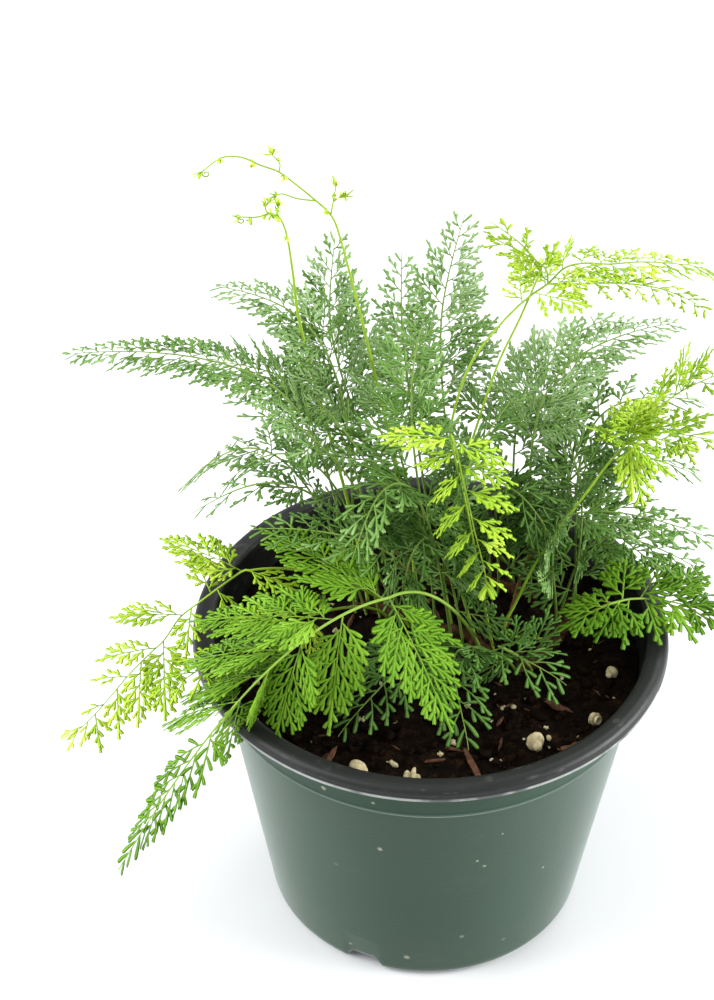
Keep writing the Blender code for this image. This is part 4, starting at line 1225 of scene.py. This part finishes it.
def grow_frond(name, row, seed):
    rng = np.random.default_rng(seed)
    stalk_line, blade_line, side = frond_line(name, row)
    girth = {"mature": 1.0, "lime": 0.85, "shade": 0.78}[row.tone]
    thick = girth * np.concatenate([np.linspace(0.00068, 0.00048, 25), np.linspace(0.00046, 0.00015, 60)])
    parts = [tube_part(np.vstack([stalk_line, blade_line[1:]]), thick, row.tint)]
    habit = HABITS[HABIT_OF.get(name, row.tone)]
    if name in AIMED:
        first = aimed_pinnae(blade_line, AIMED[name], row, rng)
        last = max(share for share, _ in AIMED[name])
        tail = pinnae_on(blade_line, side, row, row.width * 0.86, habit.gap * 0.8, rng, last + 0.04)
        first = first.plus(tail)
    else:
        leafy = np.vstack([stalk_line[round(24 * row.bare):-1], blade_line])
        first = pinnae_on(leafy, side, row, row.width, habit.gap, rng)
    for width, points in BRANCHES.get(name, []):
        axis = even_line(points, 31)
        parts.append(tube_part(axis, np.linspace(0.00042, 0.00014, 31), row.tint))
        across = np.cross(unit(axis[-1] - axis[0]), np.array([0.0, 1.0, 0.3]))
        first = first.plus(pinnae_on(axis, unit(across), row, width, habit.gap, rng, 0.05))
    parts += leafy_parts(first, habit, rng)
    verts, faces, numbers, places = join(parts)
    leafy = mesh_object("leafy_" + name, verts, faces, [LEAF[row.tone]], numbers, places=places)
    stands_for(leafy, "leaf_" + row.tone, name)
    return len(faces)


total = 0
for order, (name, row) in enumerate(FRONDS.items()):
    total += grow_frond(name, row, 100 + order)
print("fronds grown:", len(FRONDS), "faces:", total)

# %% [markdown]
# ## Croziers
# A young fern frond unrolls from a crozier. Two are half open here: thin bare
# lime stems that arch over, with a few tiny tufts and a curled tip. Stems and
# twigs follow points, since they bend too much for one arch. The tufts are fans
# of very short segments, and the tip is a small spiral.

# %% Croziers
def curl(start, ahead, up, radius, turns, thick):
    """A small spiral that a young tip is rolled into."""
    angles = np.linspace(0, turns * math.tau, 26)
    shrink = radius * (1 - 0.72 * angles / angles[-1])
    centre = start + up * radius
    line = centre - up * (shrink * np.cos(angles))[:, None] + ahead * (shrink * np.sin(angles))[:, None]
    return tube_part(line, np.linspace(thick, thick * 0.6, len(line)), 0.6, 1.0)


def tuft(point, ahead, rng, size=0.0026):
    """A tight fan of very young segments."""
    count = 8
    spread = unit(np.tile(ahead, (count, 1)) + rng.normal(0, 0.55, (count, 3)))
    up = unit(np.cross(np.cross(spread, np.array([0.0, 0.2, 1.0])), spread))
    return Shoots(np.tile(point, (count, 1)), spread, up, size * rng.uniform(0.5, 1.1, count),
                  rng.normal(0, 0.2, (count, 3)), rng.uniform(0.3, 0.9, count))


def grow_crozier(name, row, seed):
    rng = np.random.default_rng(seed)
    stalk_line, blade_line, side = frond_line(name, row)
    line = np.vstack([stalk_line, blade_line[1:]])
    parts = [tube_part(line, np.linspace(0.00060, 0.00022, len(line)), row.tint, 1.0)]
    tufts = tuft(blade_line[-1], unit(blade_line[-1] - blade_line[-3]), rng)
    for spot in (34, 44, 50, 56):
        ahead = unit(blade_line[spot] - blade_line[spot - 1] + np.array([0.0, -0.2, -0.5]))
        tufts = tufts.plus(tuft(blade_line[spot], ahead, rng, 0.0020))
    for _, points in BRANCHES[name]:
        twig = even_line(points, 15)
        parts.append(tube_part(twig, np.linspace(0.00026, 0.00018, 15), row.tint, 1.0))
        for spot in (8, 14):
            ahead = unit(twig[spot] - twig[spot - 2])
            tufts = tufts.plus(tuft(twig[spot], ahead, rng, 0.0012 + 0.0001 * spot))
    segments = straps(tufts, STRAP, 0.0009, 0.00028, 0.22, 0.10)
    segments[2]["wood"] = np.zeros(len(segments[0]))
    parts.append(segments)
    ahead = unit(blade_line[-1] - blade_line[-2])
    up = unit(np.cross(side, ahead))
    parts.append(curl(blade_line[-1], ahead, up if up[2] < 0 else -up, 0.0013, 1.2, 0.00026))
    verts, faces, numbers, places = join(parts)
    young = mesh_object("young_" + name, verts, faces, [LEAF["lime"]], numbers, places=places)
    stands_for(young, "leaf_lime", name)
    return len(faces)


for order, (name, row) in enumerate(CROZIERS.items()):
    print(name, "faces:", grow_crozier(name, row, 300 + order))

# %% [markdown]
# ## A dry stalk
# One old stalk lost its blade and stands as a reddish brown stem. It is a thin
# tube with a little noise in its radius, since dry stems shrink unevenly.

# %% Dry stalk
knots = np.array([(25, 13, 0.6), (27, 14, 12), (30, 16, 24), (35, 17, 34)]) / 1000
line = np.stack([np.interp(np.linspace(0, 3, 28), range(4), knots[:, k]) for k in range(3)], 1)
line[:, 2] += SOIL_TOP
for _ in range(6):
    line[1:-1] = (line[:-2] + 2 * line[1:-1] + line[2:]) / 4
rng = np.random.default_rng(70)
verts, faces = swept(line, 0.00055 * (1 + 0.12 * rng.standard_normal(len(line))), 10)
dry = mesh_object("dry_stem", verts, faces, [DRY])
stands_for(dry, "dry_stalk", "dry_stalk")
print("dry stalk faces:", len(faces))

# %% [markdown]
# ## Floor and light
# The plant stands on a plain white table in a bright, even room. A white world
# gives the soft fill that wraps round the leaves. A soft lamp at each side lays
# the long pale streaks on the pot. Two more, high on the left and behind, add a
# gentle direction, so the upper leaves are brighter and the pot has a faint
# shadow at its foot.

# %% Floor and lights
def floor_finish():
    floor = Finish("white_table", Specular_IOR_Level=0.2)
    cloud = floor.noise(3.0, 3.0)
    floor.colour(floor.mix(cloud, (0.694, 0.704, 0.720), (0.714, 0.724, 0.738)))
    floor.roughness(0.75 + cloud * 0.1)
    return floor.material


TABLE_HALF = 6.0
floor_verts = np.array([(-1, -1, 0), (1, -1, 0), (1, 1, 0), (-1, 1, 0)]) * TABLE_HALF
floor = mesh_object("table_top", floor_verts, np.array([[0, 1, 2, 3]]), [floor_finish()], smooth=False)


def soft_lamp(name, place, target, size, power, colour):
    data = bpy.data.lights.new(name, "AREA")
    data.shape = "DISK"
    data.size = size
    data.energy = power
    data.color = colour
    lamp = bpy.data.objects.new(name, data)
    scene.collection.objects.link(lamp)
    lamp.location = place
    lamp.rotation_euler = (Vector(target) - Vector(place)).to_track_quat("-Z", "Y").to_euler()


soft_lamp("key_lamp", (-0.9, -0.3, 1.5), (0, 0, 0.12), 1.1, 12.0, (1.0, 0.995, 0.98))
soft_lamp("left_lamp", (-1.05, -0.10, 0.42), (0, 0, 0.10), 0.8, 17.0, (1.0, 1.0, 1.0))
soft_lamp("right_lamp", (1.05, -0.10, 0.42), (0, 0, 0.10), 0.8, 21.0, (1.0, 1.0, 1.0))
soft_lamp("back_lamp", (0.7, 1.1, 1.3), (0, 0, 0.12), 1.1, 10.0, (0.99, 0.995, 1.0))
world = bpy.data.worlds.new("bright_room")
scene.world = world
world.use_nodes = True
sky = world.node_tree.nodes["Background"]
sky.inputs["Color"].default_value = (0.985, 0.992, 1.0, 1)
sky.inputs["Strength"].default_value = 0.78
scene.view_settings.view_transform = "Standard"
scene.view_settings.look = "None"
